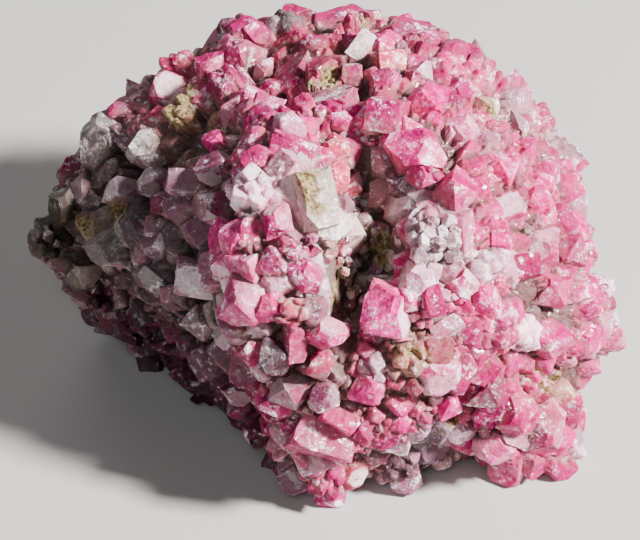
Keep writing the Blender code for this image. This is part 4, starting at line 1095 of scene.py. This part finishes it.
def steepness(places, ways):
    """The angle in degrees between the way the rock faces at each place and the way from the heart."""
    away = unit(places - HEART_AT)
    return np.degrees(np.arccos(np.clip((away * ways).sum(axis=1), -1.0, 1.0)))


grain_steep = steepness(grain_places, grain_outwards) > STEEP
rock_middles = rock_points[rock_faces].mean(axis=1)
nearest_face = np.array([((rock_middles - place) ** 2).sum(axis=1).argmin() for place in site_places])
site_facing = unit(facing(rock_points[rock_faces[nearest_face]]))
site_steep = steepness(site_places, site_facing) > STEEP
print("on steep walls:", site_steep.sum(), "larger crystals and", grain_steep.sum(), "smaller ones")

# %% [markdown]
# ## Knots
# The rounded lumps and the whitish blocks aren't single crystals: each is a knot of smaller ones grown into
# each other. A bumpy noise on one ball would look like cauliflower. So a lump keeps its place, size and
# form, and small crystals with their own turns are set over its faces, as many as its size asks for.

# %% Knots of small crystals
KNOT_GRAIN = (0.9, 1.5)  # mm
KNOT_DENSITY = 1.8  # small crystals for each square millimetre of the lump's size squared
KNOT_SEAT = 0.86  # of the way from the lump's middle to its surface
KNOT_GRAIN_MOST = 0.46  # of the lump's own size


def evenly_around(count):
    """Unit directions spread evenly: equal steps of height, each turned on by the golden angle."""
    height = 1.0 - 2.0 * (np.arange(count) + 0.5) / count
    ring = np.sqrt(1.0 - height * height)
    turn = math.pi * (3.0 - math.sqrt(5.0)) * np.arange(count)
    return np.stack([ring * np.cos(turn), ring * np.sin(turn), height], axis=1)


knots = np.flatnonzero(is_knot)
counts = np.round(KNOT_DENSITY * site_sizes[knots] ** 2).astype(int)
owner = np.repeat(knots, counts)
spins = random_turns(len(knots))
around = np.concatenate([evenly_around(count) @ spin for count, spin in zip(counts, spins)])
surface = 1.0 / (around @ FACE_NORMALS.T / site_reach[owner]).max(axis=1)
seats = np.einsum("nij,nj->ni", site_turns[owner], KNOT_SEAT * surface[:, None] * around)
knot_places = site_places[owner] + seats
knot_sizes = np.minimum(chance.uniform(*KNOT_GRAIN, len(owner)), KNOT_GRAIN_MOST * site_sizes[owner])
knot_reach = drawn_reach(len(owner))
knot_turns = random_turns(len(owner))
knot_turns = knot_turns * (chance.uniform(0.8, 1.2, (len(owner), 1, 3)) * knot_sizes[:, None, None])
print(len(knots), "knots of", len(owner), "small crystals in all")

# %% All the small crystals together
KNOT_OWN_SHARE = 0.4
knot_tints = varied(site_tints[owner], KNOT_OWN_SHARE)
grain_places, grain_sizes, grain_reach, grain_turns, grain_tints, grain_steep = map(np.concatenate, (
    (grain_places, knot_places), (grain_sizes, knot_sizes), (grain_reach, knot_reach),
    (grain_turns, knot_turns), (grain_tints, knot_tints), (grain_steep, site_steep[owner]),
))
print("small crystals in all:", len(grain_sizes))

# %% [markdown]
# ## One grown-together surface
# The crystals are grown into each other, so the fine surface is a distance in every direction from the
# heart, the furthest that any crystal reaches, and the joints lie where the two furthest meet. Joining
# thousands of meshes with Boolean modifiers would take hours and leave slivers. A grid has neither fault.

# %% A grid drawn together on the show face
GRID = 232
FAVOUR = 0.2  # how strongly the grid is drawn together there
SHOW_WAY = np.array((0.0, -math.cos(math.radians(FACE_TILT_DEG)), math.sin(math.radians(FACE_TILT_DEG))))


def drawn_together(ways):
    """Directions moved towards the show face's: each plus a share of it, and back to one unit long."""
    return unit(ways + FAVOUR * SHOW_WAY)


def spread_again(ways):
    """The directions that drawn_together would bring to these ones."""
    lean = ways @ SHOW_WAY
    length = FAVOUR * lean + np.sqrt(1.0 - FAVOUR ** 2 + (FAVOUR * lean) ** 2)
    return length[:, None] * ways - FAVOUR * SHOW_WAY


grid_ways = side_grids(GRID)
side_ways = drawn_together(grid_ways)
print("directions:", side_ways[..., 0].size)

# %% How far one crystal reaches
ROUNDING = 0.09  # mm


def crystal_reach(ways, planes, offsets, size):
    """How far a crystal reaches along each direction, 0 where it is missed: each face's plane is met at its
    offset over the lean, the nearest in front counts, and a soft minimum rounds the edges a little."""
    lean = ways @ planes.T
    lean = np.where(np.abs(lean) < 1e-4, 1e-4, lean)
    crossing = offsets / lean
    far = np.where(lean > 0, crossing, 99.0)
    near = np.where(lean < 0, crossing, 0.0).max(axis=-1)
    least = far.min(axis=-1)
    width = ROUNDING * min(1.0, size / 2.0)
    far = least - width * np.log(np.exp((least[..., None] - far) / width).sum(axis=-1))
    return np.where(least > near, far, 0.0)


def crystal_windows(side, bearings, angle):
    """For one side's grid, the crystals that it sees, and the rows and columns that each can reach."""
    half, step = GRID // 2, math.pi / 2 / GRID
    grid = grid_ways[side]
    ahead = bearings @ grid[half, half]
    edges = []
    for axis in (grid[-1, half] - grid[0, half], grid[half, -1] - grid[half, 0]):
        middle = np.arctan2(bearings @ axis / np.linalg.norm(axis), ahead) + math.pi / 4
        edges += [np.floor((middle - angle) / step), np.ceil((middle + angle) / step) + 1]
    edges = np.clip(edges, 0, GRID + 1).astype(int)
    seen = (ahead > 0.3) & (edges[1] > edges[0]) & (edges[3] > edges[2])
    return [(k, (side, slice(*edges[:2, k]), slice(*edges[2:, k]))) for k in np.flatnonzero(seen)]


def furthest(base, turns, reach, places, sizes):
    """Over the six side grids: the furthest distance, the second furthest and which crystal it is, -1 for
    the bare rock. Each crystal is only looked at inside its own window of the grid."""
    planes = np.einsum("fi,nij->nfj", FACE_NORMALS, np.linalg.inv(turns))
    length = np.linalg.norm(planes, axis=2, keepdims=True)
    planes = planes / length
    middles = places - HEART_AT
    offsets = reach / length[:, :, 0] + np.einsum("nfj,nj->nf", planes, middles)
    away = np.linalg.norm(middles, axis=1)
    angle = np.arcsin(np.minimum(0.9, 0.75 * sizes / away)) * 1.3 * (1.0 + FAVOUR)
    bearings = spread_again(middles / away[:, None])
    top, second, label = base.copy(), np.zeros_like(base), np.full(base.shape, -1)
    for side in range(6):
        for k, window in crystal_windows(side, bearings, angle):
            far = crystal_reach(side_ways[window], planes[k], offsets[k], sizes[k])
            old = top[window]
            second[window] = np.maximum(second[window], np.minimum(old, far))
            label[window] = np.where(far > old, k, label[window])
            top[window] = np.maximum(old, far)
    return top, second, label


print("edges are rounded by", ROUNDING, "mm")

# %% The bare rock under the crystals
COARSE_GRID = 58  # the cage is smooth enough to be worked out here and carried to the fine grid
BARE_DEPTH = 0.45  # mm: how far the bare rock lies under its form
ROCK_GRAIN = 0.8  # mm


def finer(coarse, cuts):
    """Values on coarse side grids (6, n, n) carried to finer ones by straight-line blending both ways."""
    spots = np.linspace(0, coarse.shape[1] - 1, cuts + 1)
    first = np.minimum(spots.astype(int), coarse.shape[1] - 2)
    blend = np.zeros((cuts + 1, coarse.shape[1]))
    blend[np.arange(cuts + 1), first] = 1.0 - (spots - first)
    blend[np.arange(cuts + 1), first + 1] += spots - first
    return np.einsum("ia,sab,jb->sij", blend, coarse, blend, optimize=True)


coarse_far = soft_distance(drawn_together(side_grids(COARSE_GRID)).reshape(-1, 3), 0.014)
cage_far = finer(coarse_far.reshape(6, COARSE_GRID + 1, COARSE_GRID + 1), GRID).reshape(-1)
rock_skin = HEART_AT + side_ways.reshape(-1, 3) * cage_far[:, None]
plate = plate_share(rock_skin)
bare = cage_far - (BARE_DEPTH + hollows(rock_skin)) * (1.0 - plate)
bare = bare + (0.25 - 0.15 * plate) * rough_noise(rock_skin / ROCK_GRAIN, 5)
print("the bare rock lies", (cage_far - bare).mean().round(2), "mm deep on average")

# %% All crystals in one surface
KNOT_BODY, CRYSTAL_BODY = 0.85, 0.95  # of its size: what lies inside a knot's and a drawn crystal's skin

mass_reach = site_reach * np.where(is_knot, KNOT_BODY, CRYSTAL_BODY)[:, None]
members = [[array[~site_steep] for array in (site_turns, mass_reach, site_places, site_sizes, site_tints)],
           [array[~grain_steep] for array in
            (grain_turns, grain_reach, grain_places, grain_sizes, grain_tints)]]
all_turns, all_reach, all_places, all_sizes, all_tints = [np.concatenate(part) for part in zip(*members)]
mass_ways, mass_quads, mass_keep = ball(GRID)
mass_ways = drawn_together(mass_ways)
surfaces = furthest(bare.reshape(side_ways.shape[:3]), all_turns, all_reach, all_places, all_sizes)
top, second, label, cage_far, plate = [
    array.reshape(-1)[mass_keep] for array in (*surfaces, cage_far, plate)]
print("of the surface", ((label < 0).mean() * 100).round(1), "% is bare rock")

# %% Cracks along the joints, grain, and dust with painted shade in whatever lies deep
CRACK_WIDTH, CRACK_DEPTH = 0.2, 0.24  # mm
GRAIN_FINENESS, GRAIN_HEIGHT = 0.45, 0.06  # mm
DUST_WIDTH = 0.35  # mm
# dust on bare rock and in the joints is the stone's own; the deep share also paints shade where the surface
# lies low
BARE_DUST, JOINT_DUST, DEEP_DUST_AND_SHADE, MASS_DUST_AND_SHADE_MOST = 0.6, 0.55, 0.9, 0.92
PLATE_CLEAN = 0.8  # the share of dust that the plate is free of

joint = top - second
mass_points = HEART_AT + mass_ways * top[:, None]
crack = np.exp(-(joint / CRACK_WIDTH) ** 2)
top = top - CRACK_DEPTH * crack + GRAIN_HEIGHT * rough_noise(mass_points / GRAIN_FINENESS, 31, 3)
mass_points = warped(HEART_AT + mass_ways * top[:, None])
# painted shade: the deeper the surface lies under the rock's form, the more dark dirt it gets
depth = np.clip(0.12 - (top - cage_far) / 1.1, 0.0, 1.0)
joint_dust = JOINT_DUST * np.exp(-(joint / DUST_WIDTH) ** 2)
mass_dust = np.where(label < 0, BARE_DUST, 0.0) + joint_dust + DEEP_DUST_AND_SHADE * depth ** 1.3
mass_dust = np.clip(mass_dust * (1.0 - PLATE_CLEAN * plate), 0.0, MASS_DUST_AND_SHADE_MOST)
mass_tint = np.where((label < 0)[:, None], zone_colour(mass_points), all_tints[label])
print("mean share of dust:", mass_dust.mean().round(2))


# %% Parting the surface into pieces
def bearing(points):
    """Which way points lie from the heart as seen from above, in degrees from 0 to 360."""
    away = points - HEART_AT
    return np.degrees(np.arctan2(away[:, 1], away[:, 0])) % 360.0


def mass_pieces(names, points, quads, tint, dust, label):
    """The surface parted into pieces along the joints between crystals, each closed by walls to the
    heart: a quad goes by the bearing of its crystal, or by its own on bare rock."""
    crystal = label[quads[:, 0]]
    angle = np.where(crystal < 0, bearing(points[quads].mean(axis=1)), bearing(all_places)[crystal])
    group = np.minimum(angle // (360.0 / len(names)), len(names) - 1)
    pieces = []
    for number, name in enumerate(names):
        chosen = quads[group == number]
        edges = np.concatenate([chosen[:, [k, (k + 1) % 4]] for k in range(4)])
        back = edges[:, ::-1]
        code = edges[:, 0] * len(points) + edges[:, 1]
        lone = ~np.isin(code, back[:, 0] * len(points) + back[:, 1])
        border = edges[lone]
        used, packed = np.unique(chosen, return_inverse=True)
        packed = packed.reshape(-1, 4)
        walls = np.stack([np.searchsorted(used, border[:, 1]), np.searchsorted(used, border[:, 0]),
                          np.full(len(border), len(used))], axis=1)
        faces = np.concatenate([packed[:, [0, 1, 2]], packed[:, [0, 2, 3]], walls])
        pieces.append(mesh_piece(
            name, np.vstack([points[used], HEART]), faces, mass_material,
            tint=np.vstack([tint[used], tint[:1]]), dust=np.append(dust[used], 1.0),
            crust=np.append(crust_share(points[used]), 0.0)))
    return pieces


# %% Make every piece
pieces = [
    crystal_piece(name, cuts, site_reach[chosen], site_turns[chosen], site_places[chosen],
                  site_sizes[chosen], site_tints[chosen], crystal_material)
    for name, cuts, chosen in (("big_crystals", 10, big), ("middling_crystals", 7, middling))
]
pieces.append(crystal_piece("wall_grains", 3, grain_reach[grain_steep], grain_turns[grain_steep],
                            grain_places[grain_steep], grain_sizes[grain_steep], grain_tints[grain_steep],
                            mass_material, wave=0.05))
pieces += mass_pieces([f"grown_mass_{k}" for k in range(1, 6)], mass_points, mass_quads, mass_tint,
                      mass_dust, label)
print(len(pieces), "pieces")

# %% [markdown]
# ## Joining the frame
# The specimen is one solid thing, so every piece rides on its one body, stands for its one solid and takes
# one slot of finish.

# %% Ride, replace and finish
for piece in pieces:
    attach(piece, "root")
    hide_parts(NODE)
